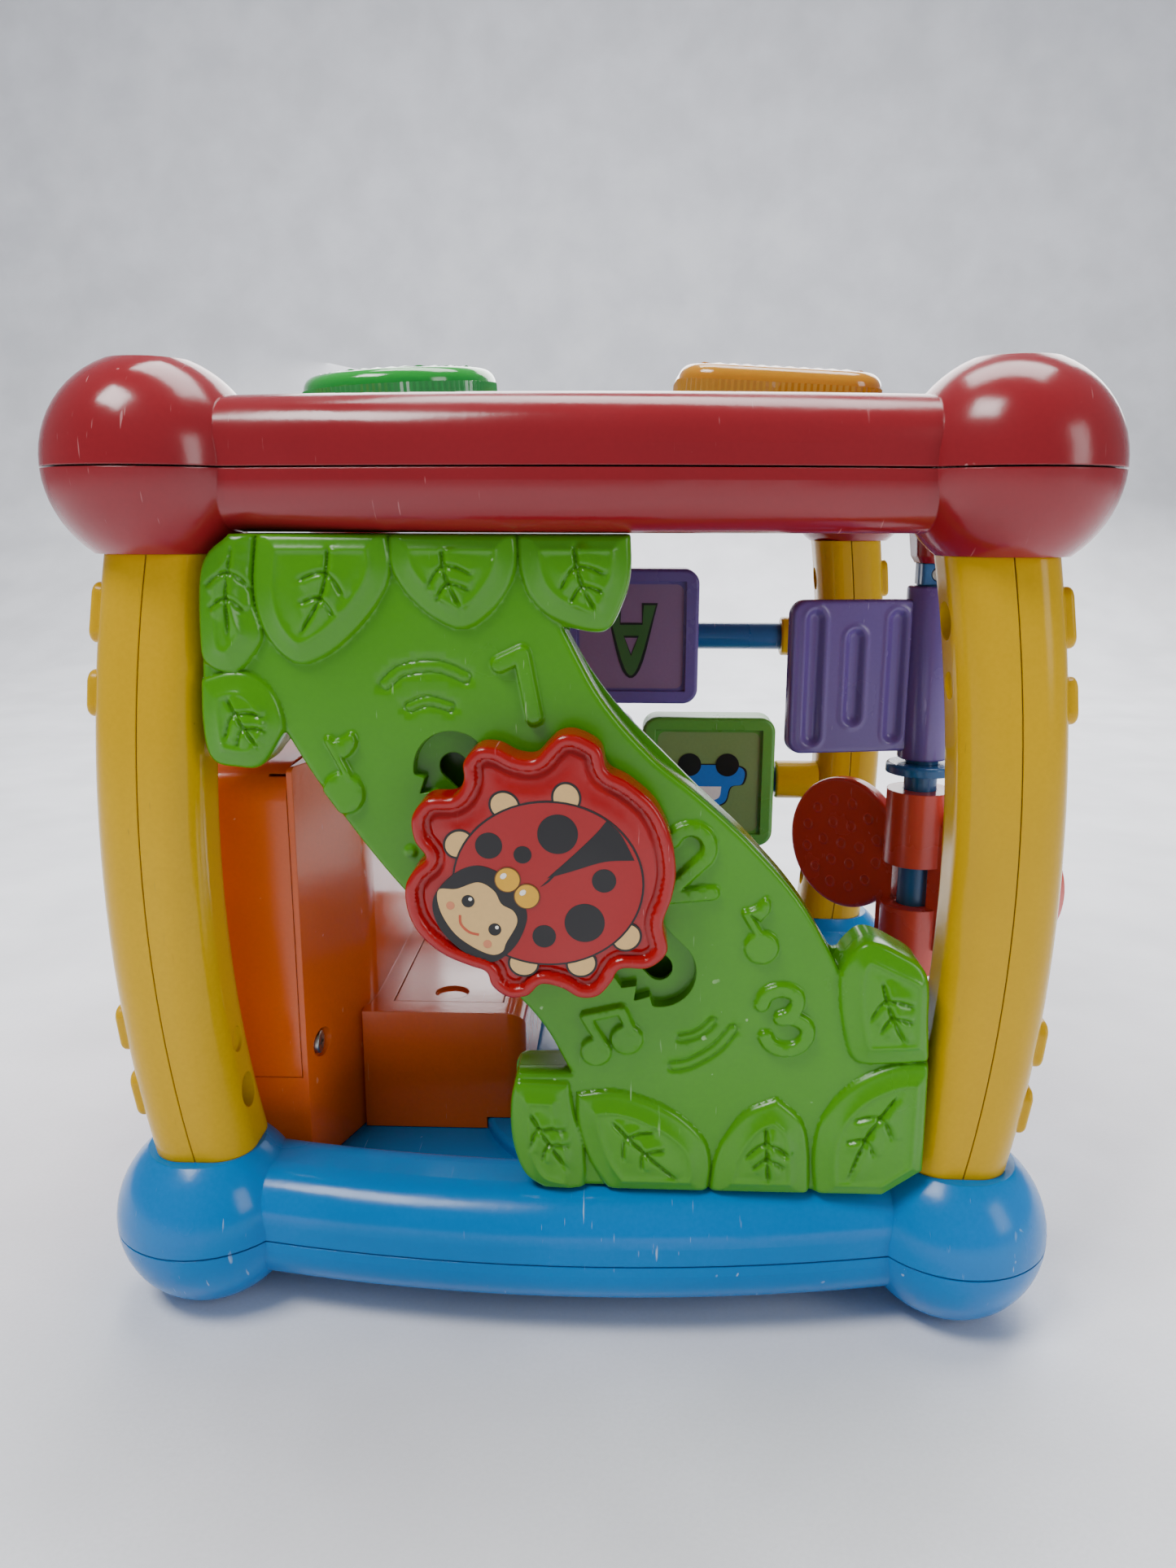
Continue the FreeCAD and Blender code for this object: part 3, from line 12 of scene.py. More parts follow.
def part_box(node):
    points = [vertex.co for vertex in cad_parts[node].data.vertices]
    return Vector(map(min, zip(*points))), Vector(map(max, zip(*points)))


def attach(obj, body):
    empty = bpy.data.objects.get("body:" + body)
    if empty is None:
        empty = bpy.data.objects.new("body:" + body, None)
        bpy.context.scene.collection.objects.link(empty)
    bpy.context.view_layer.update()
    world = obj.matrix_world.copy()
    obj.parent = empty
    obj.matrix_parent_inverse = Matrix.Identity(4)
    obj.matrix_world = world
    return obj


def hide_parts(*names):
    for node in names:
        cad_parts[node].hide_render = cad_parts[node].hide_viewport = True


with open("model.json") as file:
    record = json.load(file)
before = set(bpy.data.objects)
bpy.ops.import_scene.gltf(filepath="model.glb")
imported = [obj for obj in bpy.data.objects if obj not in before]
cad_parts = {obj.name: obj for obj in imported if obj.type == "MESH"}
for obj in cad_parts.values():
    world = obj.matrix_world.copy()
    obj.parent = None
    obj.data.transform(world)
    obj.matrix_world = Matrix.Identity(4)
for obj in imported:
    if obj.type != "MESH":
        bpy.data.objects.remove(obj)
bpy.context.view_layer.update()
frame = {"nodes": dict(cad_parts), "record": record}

MM = 0.001
NODES = frame["nodes"]
RECORD = frame["record"]


# ---------------------------------------------------------------- materials

def srgb(code):
    """Turn a six-digit hex colour into linear RGBA."""
    channels = [int(code[i:i + 2], 16) / 255 for i in (0, 2, 4)]
    return tuple(((c + 0.055) / 1.055) ** 2.4 if c > 0.04045 else c / 12.92 for c in channels) + (1.0,)


def shifted(colour, factor):
    """Return a colour made lighter or darker."""
    return tuple(min(1.0, c * factor) for c in colour[:3]) + (1.0,)


class Shader:
    """A small helper that adds and links nodes of one material."""

    def __init__(self, name):
        self.material = bpy.data.materials.new(name)
        self.material.use_nodes = True
        self.tree = self.material.node_tree
        self.surface = self.tree.nodes["Principled BSDF"]
        self.coords = self.add("ShaderNodeTexCoord")

    def add(self, kind, **settings):
        """Add a node, set its properties and return it."""
        node = self.tree.nodes.new(kind)
        for key, value in settings.items():
            setattr(node, key, value)
        return node

    def link(self, source, target):
        """Link two sockets."""
        self.tree.links.new(source, target)

    def noise(self, scale, detail=3.0, stretch=None):
        """Return the value of a noise texture in object space."""
        texture = self.add("ShaderNodeTexNoise")
        texture.inputs["Scale"].default_value = scale
        texture.inputs["Detail"].default_value = detail
        source = self.coords.outputs["Object"]
        if stretch:
            mapping = self.add("ShaderNodeMapping")
            mapping.inputs["Scale"].default_value = stretch[0]
            mapping.inputs["Rotation"].default_value = stretch[1]
            self.link(source, mapping.inputs["Vector"])
            source = mapping.outputs["Vector"]
        self.link(source, texture.inputs["Vector"])
        return texture.outputs["Fac"]

    def remap(self, value, low, high, to_low, to_high):
        """Map a value from one range to another, clamped."""
        node = self.add("ShaderNodeMapRange")
        self.link(value, node.inputs["Value"])
        for key, number in zip(("From Min", "From Max", "To Min", "To Max"), (low, high, to_low, to_high)):
            node.inputs[key].default_value = number
        return node.outputs["Result"]

    def mix(self, factor, first, second):
        """Mix two colours, each a socket or a constant."""
        node = self.add("ShaderNodeMix", data_type="RGBA")
        for socket, value in ((node.inputs[0], factor), (node.inputs[6], first), (node.inputs[7], second)):
            if isinstance(value, bpy.types.NodeSocket):
                self.link(value, socket)
            else:
                socket.default_value = value
        return node.outputs[2]

    def math(self, operation, first, second=0.0):
        """Combine two numbers, each a socket or a constant."""
        node = self.add("ShaderNodeMath", operation=operation)
        for socket, value in ((node.inputs[0], first), (node.inputs[1], second)):
            if isinstance(value, bpy.types.NodeSocket):
                self.link(value, socket)
            else:
                socket.default_value = value
        return node.outputs[0]

    def bump(self, height, strength, distance):
        """Roughen the surface by a height field, with the distance in millimetres; return the node."""
        node = self.add("ShaderNodeBump")
        node.inputs["Strength"].default_value = strength
        node.inputs["Distance"].default_value = distance * MM
        self.link(height, node.inputs["Height"])
        self.link(node.outputs["Normal"], self.surface.inputs["Normal"])
        return node


def scratch_mask(shader, amount):
    """Return a mask of fine scratches and a few small nicks."""
    total = None
    for turn, scale in ((0.3, 900), (1.2, 700), (2.4, 1100)):
        lines = shader.noise(1.0, 2.0, ((scale, scale * 0.03, scale * 0.12), (turn * 0.7, turn * 0.4, turn)))
        hair = shader.remap(lines, 0.74 - 0.05 * amount, 0.80 - 0.05 * amount, 0.0, 1.0)
        total = hair if total is None else shader.math("MAXIMUM", total, hair)
    patches = shader.remap(shader.noise(26.0, 2.0), 0.48, 0.62, 0.0, 1.0)
    nicks = shader.remap(shader.noise(420.0, 1.0), 0.76, 0.80, 0.0, 1.0)
    sparse = shader.remap(shader.noise(60.0, 1.0), 0.60, 0.66, 0.0, 1.0)
    return shader.math("MAXIMUM", shader.math("MULTIPLY", total, patches),
                       shader.math("MULTIPLY", nicks, sparse))


def plastic(name, code, roughness=0.25, wear=0.0, grain=0.15, bevel=0.5, coat=0.0, transmission=0.0,
            subsurface=0.0, worn="f0f0f0", specular=0.5):
    """Moulded plastic: slight colour drift, orange-peel bump, soft edges, scratches and haze."""
    shader = Shader(name)
    surface = shader.surface
    colour = srgb(code)
    drift = shader.remap(shader.noise(14.0, 4.0), 0.35, 0.65, 0.0, 1.0)
    speckle = shader.remap(shader.noise(950.0, 2.0), 0.3, 0.7, 0.0, 1.0)
    base = shader.mix(drift, shifted(colour, 0.93), shifted(colour, 1.06))
    base = shader.mix(shader.math("MULTIPLY", speckle, 0.22), base, shifted(colour, 0.80))
    haze = shader.remap(shader.noise(38.0, 5.0), 0.35, 0.7, roughness * 0.8, roughness * 1.35 + 0.03)
    if wear:
        marks = scratch_mask(shader, wear)
        base = shader.mix(shader.math("MULTIPLY", marks, 0.5), base, srgb(worn))
        haze = shader.math("ADD", haze, shader.math("MULTIPLY", marks, 0.35))
    shader.link(base, surface.inputs["Base Color"])
    shader.link(haze, surface.inputs["Roughness"])
    soft = shader.add("ShaderNodeBevel", samples=4)
    soft.inputs["Radius"].default_value = bevel * MM
    peel = shader.math("ADD", shader.noise(520.0, 2.0), shader.math("MULTIPLY", shader.noise(90.0, 2.0), 1.5))
    shader.link(soft.outputs["Normal"], shader.bump(peel, grain, 0.15).inputs["Normal"])
    for key, value in (("Specular IOR Level", specular), ("Coat Weight", coat), ("Coat Roughness", 0.08),
                       ("Transmission Weight", transmission), ("Subsurface Weight", subsurface),
                       ("Subsurface Scale", 3 * MM), ("Subsurface Radius", (1.0, 0.6, 0.4))):
        surface.inputs[key].default_value = value
    return shader.material


def metal(name, code, roughness=0.35):
    """Plated steel with fine turning marks."""
    shader = Shader(name)
    surface = shader.surface
    colour = srgb(code)
    drift = shader.remap(shader.noise(300.0, 3.0), 0.3, 0.7, 0.0, 1.0)
    shader.link(shader.mix(drift, shifted(colour, 0.8), shifted(colour, 1.1)), surface.inputs["Base Color"])
    surface.inputs["Metallic"].default_value = 1.0
    surface.inputs["Roughness"].default_value = roughness
    shader.bump(shader.noise(1500.0, 2.0), 0.3, 0.05)
    return shader.material


# Name, maker, colour, roughness and other settings of each finish
CLEAR = {"transmission": 0.35, "coat": 0.4, "subsurface": 0.2}
FINISHES = [
    ("red_plastic", plastic, "8c1a22", 0.16, dict(wear=0.1, subsurface=0.04, worn="e0a0a0")),
    ("blue_plastic", plastic, "0076be", 0.19, dict(wear=0.2, specular=0.3, subsurface=0.05, worn="d8ecf8")),
    ("rod_blue", plastic, "2a6299", 0.28, dict(wear=0.3)),
    ("yellow_plastic", plastic, "cea200", 0.17,
     dict(wear=0.03, specular=0.2, subsurface=0.08, worn="8a6a20")),
    ("lime_plastic", plastic, "479004", 0.19, dict(wear=0.05, specular=0.42, subsurface=0.08, worn="c8e8b0")),
    ("orange_plastic", plastic, "f26810", 0.14, dict(wear=0.15, subsurface=0.06, worn="f0b088")),
    ("purple_plastic", plastic, "6a5298", 0.22, dict(wear=0.3, worn="b8a8d8")),
    ("dark_red_plastic", plastic, "d84838", 0.22, dict(wear=0.3, worn="d09090")),
    ("green_clear", plastic, "22c040", 0.10, CLEAR),
    ("amber_clear", plastic, "e8a010", 0.10, CLEAR),
    ("violet_clear", plastic, "6a5cd0", 0.10, CLEAR),
    ("rose_clear", plastic, "d83a4a", 0.10, CLEAR),
    ("tile_purple", plastic, "6a549c", 0.30, dict(wear=0.15, worn="b0a0c8")),
    ("tile_pink", plastic, "cdaeba", 0.33, dict(wear=0.15)),
    ("tile_green", plastic, "5ca43c", 0.30, dict(wear=0.15, worn="a8c890")),
    ("tile_orange", plastic, "c9682a", 0.33, dict(wear=0.15)),
    ("key_white", plastic, "ece7da", 0.22, dict(wear=0.1, worn="a09888", subsurface=0.08)),
    ("screw_steel", metal, "b4b2ac", 0.38, {}),
    ("contact_metal", metal, "c2c0b8", 0.3, {}),
    ("board_green", plastic, "1f5a36", 0.45, {}),
    ("silicone", plastic, "d8d8d4", 0.55, {}),
    ("lamp", plastic, "f2f2ea", 0.1, dict(transmission=0.8)),
    ("cell_jacket", plastic, "3a3d42", 0.35, {}),
    ("speaker_black", plastic, "232325", 0.6, {}),
]
MATERIALS = {name: maker(name, code, roughness, **extra)
             for name, maker, code, roughness, extra in FINISHES}
slots = {item["node"]: item["material_slot"] for item in RECORD["subparts"]}
for node_name, node in NODES.items():
    node.data.materials.clear()
    node.data.materials.append(MATERIALS[slots[node_name]])


# ---------------------------------------------------------------- outline and mesh helpers

HEX_ROW = 0.866


def catmull(points, steps=8, closed=True):
    """Return a smooth curve through a few points; a point given three numbers is a sharp corner."""
    ring = []
    count = len(points)
    for i in range(count if closed else count - 1):
        p0, p1, p2, p3 = (points[(i + k) % count] if closed else points[min(max(i + k, 0), count - 1)]
                          for k in (-1, 0, 1, 2))
        start = np.array(p1[:2], float)
        end = np.array(p2[:2], float)
        before = start * 2 - end if len(p1) == 3 else np.array(p0[:2], float)
        after = end * 2 - start if len(p2) == 3 else np.array(p3[:2], float)
        for k in range(steps):
            t = k / steps
            ring.append(0.5 * (2 * start + (end - before) * t
                               + (2 * before - 5 * start + 4 * end - after) * t ** 2
                               + (3 * start - before - 3 * end + after) * t ** 3))
    if not closed:
        ring.append(np.array(points[-1][:2], float))
    return np.array(ring)


def arc(x, z, radius, first, last, steps=16):
    """Return points of an arc; angles in degrees, anticlockwise from +X."""
    angles = np.radians(np.linspace(first, last, steps + 1))
    return np.stack([x + radius * np.cos(angles), z + radius * np.sin(angles)], 1)


def resampled(points, spacing, closed=True):
    """Return evenly spaced points along a line or ring."""
    path = np.vstack([points, points[:1]]) if closed else np.asarray(points, float)
    lengths = np.hypot(*np.diff(path, axis=0).T)
    run = np.concatenate([[0], np.cumsum(lengths)])
    count = max(3, int(round(run[-1] / spacing)))
    stations = np.linspace(0, run[-1], count + 1)
    stations = stations[:-1] if closed else stations
    return np.stack([np.interp(stations, run, path[:, 0]), np.interp(stations, run, path[:, 1])], 1)


def line_distance(points, line, closed=False):
    """Return each point's distance to a polyline, its side of it and its station from 0 to 1."""
    path = np.vstack([line, line[:1]]) if closed else np.asarray(line, float)
    best = np.full(len(points), 1e9)
    side = np.ones(len(points))
    station = np.zeros(len(points))
    count = len(path) - 1
    for i in range(count):
        a, b = path[i], path[i + 1]
        ab = b - a
        rel = points - a
        t = np.clip(rel @ ab / max(ab @ ab, 1e-12), 0, 1)
        gap = np.hypot(*(rel - t[:, None] * ab).T)
        nearer = gap < best
        best[nearer] = gap[nearer]
        side[nearer] = np.sign(ab[0] * rel[nearer, 1] - ab[1] * rel[nearer, 0])
        station[nearer] = (i + t[nearer]) / count
    return best, side, station


def inside(points, ring):
    """Tell which points lie inside a closed ring."""
    x, z = points[:, 0], points[:, 1]
    result = np.zeros(len(points), bool)
    for (x1, z1), (x2, z2) in zip(ring, np.roll(ring, -1, axis=0)):
        crosses = (z1 > z) != (z2 > z)
        if z1 != z2:
            result ^= crosses & (x < (x2 - x1) * (z - z1) / (z2 - z1) + x1)
    return result


def depth_in(points, ring):
    """Return the distance inside a ring, negative outside."""
    gap = line_distance(points, ring, True)[0]
    return np.where(inside(points, ring), gap, -gap)


def ramp(value, low, high):
    """Smoothly rise from 0 to 1."""
    t = np.clip((value - low) / (high - low), 0, 1)
    return t * t * (3 - 2 * t)


def rounded_rise(depth, radius):
    """Return the height of a rounded edge of one radius: 0 at the rim, the radius once inside."""
    t = np.clip(depth, 0, radius)
    return np.sqrt(np.maximum(radius ** 2 - (radius - t) ** 2, 0))


def offset_ring(ring, distance):
    """Move a ring inwards by a distance, along its vertex normals."""
    ahead = np.roll(ring, -1, axis=0) - np.roll(ring, 1, axis=0)
    normal = np.stack([-ahead[:, 1], ahead[:, 0]], 1) / np.maximum(np.hypot(*ahead.T), 1e-9)[:, None]
    area = np.sum(ring[:, 0] * np.roll(ring[:, 1], -1) - np.roll(ring[:, 0], -1) * ring[:, 1])
    return ring + normal * distance * (1 if area > 0 else -1)


def hex_grid(ring, spacing):
    """Return grid points that cover a ring's box."""
    low, high = ring.min(0), ring.max(0)
    rows = np.arange(low[1], high[1], spacing * HEX_ROW)
    points = []
    for number, z in enumerate(rows):
        x = np.arange(low[0] + (number % 2) * spacing / 2, high[0], spacing)
        points.append(np.stack([x, np.full(len(x), z)], 1))
    return np.vstack(points)


def sparse_mask(points, spacing, step):
    """Mark every few rows and columns of a hex grid."""
    rows = np.round((points[:, 1] - points[:, 1].min()) / (spacing * HEX_ROW)).astype(int)
    columns = np.round((points[:, 0] - points[:, 0].min()) / spacing).astype(int)
    return (rows % step == 0) & (columns % step == 0)


def make_mesh(name, points, faces, material, smooth=40.0):
    """Make a mesh object from points in millimetres."""
    mesh = bpy.data.meshes.new(name)
    mesh.from_pydata((np.asarray(points, float) * MM).tolist(), [], faces)
    mesh.validate()
    for polygon in mesh.polygons:
        polygon.use_smooth = True
    mesh.set_sharp_from_angle(angle=math.radians(smooth))
    piece = bpy.data.objects.new(name, mesh)
    bpy.context.scene.collection.objects.link(piece)
    mesh.materials.append(material)
    return piece


def finish_piece(piece, body, replaces=()):
    """Give a piece its body and the nodes it stands for."""
    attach(piece, body)
    if replaces:
        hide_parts(*replaces)
    return piece


def triangulated(rings, extra):
    """Triangulate inside the first ring, outside the hole rings, through the extra points.

    rings is a list of (points, is_hole). Returns points, triangles and each ring's point numbers.
    """
    points = []
    edges = []
    for ring, _ in rings:
        first = len(points)
        points += [tuple(p) for p in ring]
        edges += [(first + i, first + (i + 1) % len(ring)) for i in range(len(ring))]
    points += [tuple(p) for p in extra]
    flat, _, triangles, sources, _, _ = delaunay_2d_cdt([Vector(p) for p in points], edges, [], 0, 1e-5)
    flat = np.array([tuple(p) for p in flat])
    triangles = np.array([tuple(t) for t in triangles])
    new_number = {}
    for number, olds in enumerate(sources):
        for old in olds:
            new_number[old] = number
    middles = flat[triangles].mean(1)
    keep = inside(middles, np.array(rings[0][0]))
    for ring, is_hole in rings[1:]:
        if is_hole:
            keep &= ~inside(middles, np.array(ring))
    loops = []
    first = 0
    for ring, _ in rings:
        loops.append([new_number[first + i] for i in range(len(ring))])
        first += len(ring)
    return flat, triangles[keep], loops


def relief_solid(name, rings, extra, height, front, back, material, smooth=40.0):
    """Make a closed solid whose front follows a height function and whose back is flat.

    The plan is in x and z; front and back are distances in front of the cube's axis.
    """
    flat, triangles, loops = triangulated(rings, extra)
    rise = height(flat)
    count = len(flat)
    top = np.stack([flat[:, 0], -(front + rise), flat[:, 1]], 1)
    low = np.stack([flat[:, 0], np.full(count, -back), flat[:, 1]], 1)
    a, b, c = (flat[triangles[:, k]] for k in range(3))
    turn = (b[:, 0] - a[:, 0]) * (c[:, 1] - a[:, 1]) - (b[:, 1] - a[:, 1]) * (c[:, 0] - a[:, 0])
    triangles = np.where(turn[:, None] > 0, triangles, triangles[:, ::-1])
    faces = [tuple(t) for t in triangles.tolist()]
    faces += [tuple(int(v) + count for v in t[::-1]) for t in triangles.tolist()]
    for (ring, is_hole), loop in zip(rings, loops):
        if ring is not rings[0][0] and not is_hole:
            continue
        ring = np.array(ring)
        area = np.sum(ring[:, 0] * np.roll(ring[:, 1], -1) - np.roll(ring[:, 0], -1) * ring[:, 1])
        order = loop if (area > 0) != is_hole else loop[::-1]
        for i, j in zip(order, order[1:] + order[:1]):
            faces.append((j, i, i + count, j + count))
    return make_mesh(name, np.vstack([top, low]), faces, material, smooth)


# ---------------------------------------------------------------- green panel

panel_low, panel_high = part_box("front_panel")
PANEL_FRONT = -panel_low.y / MM
PANEL_BACK = -panel_high.y / MM
TRACK_TOP = np.array([-27.9, 142.3])
TRACK_END = np.array([20.0, 93.9])
TRACK_LENGTH = float(np.hypot(*(TRACK_END - TRACK_TOP)))
ALONG = (TRACK_END - TRACK_TOP) / TRACK_LENGTH
ASIDE = np.array([ALONG[1], -ALONG[0]])
CHANNEL_RADIUS = 8.7
CHANNEL_DEPTH = 3.2
SLOT_RADIUS = 3.2
EDGE_ROUND = 1.3
PANEL_GRID = 0.42
PLATE_THICKNESS = 4.6

# Outline in x and z; three numbers mark a sharp corner
PANEL_OUTLINE = [
    (-75.5, 194.4, 1), (-82.0, 187.5), (-83.6, 168.0), (-84.2, 150.5), (-82.3, 143.6), (-77, 142.3),
    (-71.2, 142.8), (-65.7, 150.4, 1), (-57.1, 136.2), (-38.5, 111.5), (-10.8, 84.1), (-0.8, 67.6, 1),
    (-13.8, 67.4, 1),
    (-15.4, 60.0), (-15.2, 50.0), (-12.4, 41.5), (-7.5, 37.6, 1), (30.0, 37.5, 1), (74.8, 37.5, 1),
    (84.3, 44.4, 1), (84.0, 71.8, 1), (83.2, 82.0), (82.0, 94.6), (75.5, 100.0), (68.5, 102.6),
    (64.0, 99.0), (62.2, 94.8, 1), (52.5, 111.4), (40.8, 124.9), (28.5, 136.3), (17.3, 145.5), (6.2, 158.4),
    (-2.6, 174.4, 1), (6.8, 173.6), (11.0, 180.5), (12.4, 187.0), (12.2, 194.4, 1)]
# Leaves: outline points, then the middle vein from its root towards the tip
LEAVES = [
    ([(-76.0, 196, 1), (-82.6, 187.5), (-84.2, 176.0), (-83.0, 166.6), (-76.3, 163.8), (-71.1, 168.4),
      (-69.2, 173.0), (-71.0, 182.0), (-69.6, 196, 1)], [(-74.5, 192), (-76.2, 182), (-76.4, 171)]),
    ([(-69.2, 196, 1), (-70.8, 182.0), (-68.4, 172.1), (-61.8, 166.0), (-53.2, 169.1), (-44.5, 177.6),
      (-40.2, 186.0), (-40.9, 196, 1)], [(-53.2, 192), (-54.8, 182), (-60.6, 172.4)]),
    ([(-40.4, 196, 1), (-40.2, 187.7), (-36.9, 181.6), (-31.0, 176.4), (-24.6, 173.9), (-18.9, 177.0),
      (-14.2, 183.1), (-12.4, 189.0), (-12.8, 196, 1)], [(-28.6, 191.5), (-27.6, 185), (-24.2, 177.6)]),
    ([(-12.2, 196, 1), (-12.0, 187.8), (-9.6, 180.8), (-3.4, 175.6), (6.6, 173.4), (10.9, 180.2),
      (12.9, 187.0), (12.8, 196, 1)], [(0.0, 192.5), (1.6, 184.5), (5.2, 177.4)]),
    ([(-84.2, 162.4, 1), (-84.8, 154.0), (-83.6, 145.2), (-79.4, 142.2), (-70.8, 142.2), (-65.6, 150.2),
      (-66.9, 158.6), (-71.6, 163.4), (-76.8, 164.4)], [(-77.8, 158.5), (-74.6, 152.5), (-71.0, 146.6)]),
    ([(-16.5, 66.0, 1), (-16.0, 60.0), (-15.6, 50.0), (-13.0, 41.0), (-7.7, 36.0), (1.7, 36.0), (2.4, 48.5),
      (0.2, 57.0), (-1.2, 65.5, 1)], [(-10.5, 58.0), (-6.5, 51.0), (-1.0, 42.5)]),
    ([(0.6, 62.8, 1), (10.9, 63.6), (22.8, 59.3), (30.9, 52.2), (33.2, 45.1), (32.4, 36, 1), (9.1, 36, 1),
      (4.0, 44.4), (0.8, 54.6)], [(9.0, 56.5), (16.0, 49.5), (25.5, 40.5)]),
    ([(48.6, 62.6, 1), (54.4, 57.3), (56.6, 50.1), (57.4, 36, 1), (33.0, 36, 1), (33.9, 45.1),
      (36.2, 51.8), (41.2, 58.9)], [(46.2, 55.5), (46.6, 48.5), (47.2, 40.5)]),
    ([(86.0, 72.3, 1), (75.7, 71.6), (65.7, 66.2), (59.4, 57.4), (57.8, 48.0), (58.8, 36, 1), (76.0, 36, 1),
      (86.0, 43.4, 1)], [(77.0, 64.5), (70.5, 54.5), (66.0, 41.5)]),
    ([(68.0, 103.2), (76.0, 100.2), (84.5, 95.0), (85.5, 84.5), (86.0, 73.0, 1), (75.7, 72.0), (66.6, 72.6),
      (63.2, 81.6), (62.0, 92.6), (63.4, 99.6)], [(71.6, 93.5), (74.0, 85.5), (78.0, 77.5)]),
]
# Raised strokes: numerals, note stems and beams, as centre lines with a half width
STROKES = [
    ([(-16.6, 166.2), (-11.6, 168.6), (-8.9, 154.4)], 1.9),
    (np.vstack([arc(26.6, 124.6, 4.4, 160, -35, 12), [(20.6, 112.6)], [(31.8, 113.8)]]), 1.7),
    (catmull([(44.1, 86.4), (45.5, 89.1), (48.8, 90.2), (52.0, 89.0), (52.4, 86.3), (51.0, 84.0),
              (48.8, 83.0, 1), (52.2, 82.9), (54.8, 81.1), (55.0, 78.2), (53.0, 75.7), (49.7, 75.0),
              (46.7, 76.2), (45.3, 78.2)], 6, False), 1.7),
    ([(-51.2, 140.0), (-55.6, 148.6)], 1.0),
    ([(42.8, 104.0), (39.8, 108.9)], 1.0),
    ([(7.1, 75.0), (2.7, 82.6)], 1.3),
    ([(2.9, 82.6), (10.9, 84.5)], 1.3),
    ([(11.2, 84.4), (13.6, 79.2)], 1.3),
]
# Raised note heads: x, z, radius
HEADS = [(-52.8, 136.4, 5.0), (43.6, 100.6, 4.1), (5.2, 73.8, 3.8), (12.5, 77.1, 4.0)]
# Raised flags of the two single notes
FLAGS = [
    catmull([(-56.7, 148.2, 1), (-54.9, 148.9), (-53.2, 149.2), (-50.4, 150.7), (-49.4, 149.9),
             (-49.0, 148.0), (-50.4, 145.6), (-52.4, 144.2, 1)], 6),
    catmull([(39.0, 109.6, 1), (41.7, 110.7), (44.2, 112.9), (45.4, 111.8), (45.3, 109.4),
             (43.2, 106.7, 1)], 6)]
# Incised outlines beside the numerals: centre line and half width
ARCS = [
    (catmull([(-42.4, 161.6), (-38.2, 164.8), (-30.6, 165.6), (-24.4, 163.2)], 6, False), 1.35),
    (catmull([(-37.0, 156.4), (-32.8, 157.8), (-28.0, 156.5)], 6, False), 1.15),
    (catmull([(25.4, 77.4), (28.5, 78.2), (31.0, 79.8), (32.7, 81.7)], 6, False), 0.95),
    (catmull([(23.7, 70.0), (27.9, 71.0), (33.7, 74.8), (37.6, 79.7)], 6, False), 1.2)]
DIMPLES = [(-37.8, 122.7, 1.3)]
# Spikes of the channel's lower edge: along the track from its end, and aside from it
SPIKES = [(-5.0, 7.1), (-2.8, 5.9), (-1.0, 9.4), (1.3, 6.3), (3.4, 9.2), (5.6, 8.7)]


def on_track(points):
    """Turn (along, aside) pairs into x and z."""
    points = np.asarray(points, float)
    return TRACK_TOP + points[:, :1] * ALONG + points[:, 1:] * ASIDE


def channel_ring():
    """Return the channel's outline: straight sides, round ends and a few spikes near both ends."""
    end = arc(TRACK_LENGTH, 0, CHANNEL_RADIUS, -90, 55, 24)
    start = arc(0, 0, CHANNEL_RADIUS, 125, 270, 24)
    near_end = [(TRACK_LENGTH - along, aside) for along, aside in SPIKES]
    return on_track(np.vstack([end, near_end, SPIKES[::-1], start]))


def slot_ring():
    """Return the slot's outline."""
    return on_track(np.vstack([arc(TRACK_LENGTH, 0, SLOT_RADIUS, -90, 90, 14),
                               arc(0, 0, SLOT_RADIUS, 90, 270, 14)]))


def leaf_veins(vein):
    """Return a leaf's vein lines: the middle one and two pairs of branches."""
    middle = catmull(vein, 8, False)
    lines = [middle]
    for station, reach in ((0.36, 7.5), (0.62, 5.5)):
        k = int(station * (len(middle) - 1))
        heading = middle[-1] - middle[0]
        heading = heading / np.hypot(*heading)
        across = np.array([-heading[1], heading[0]])
        for side in (-1, 1):
            tip = middle[k] + (heading * 0.75 + across * side) * reach * 0.72
            bend = middle[k] + (heading * 0.25 + across * side * 0.55) * reach * 0.55
            lines.append(catmull([tuple(middle[k]), tuple(bend), tuple(tip)], 5, False))
    return lines


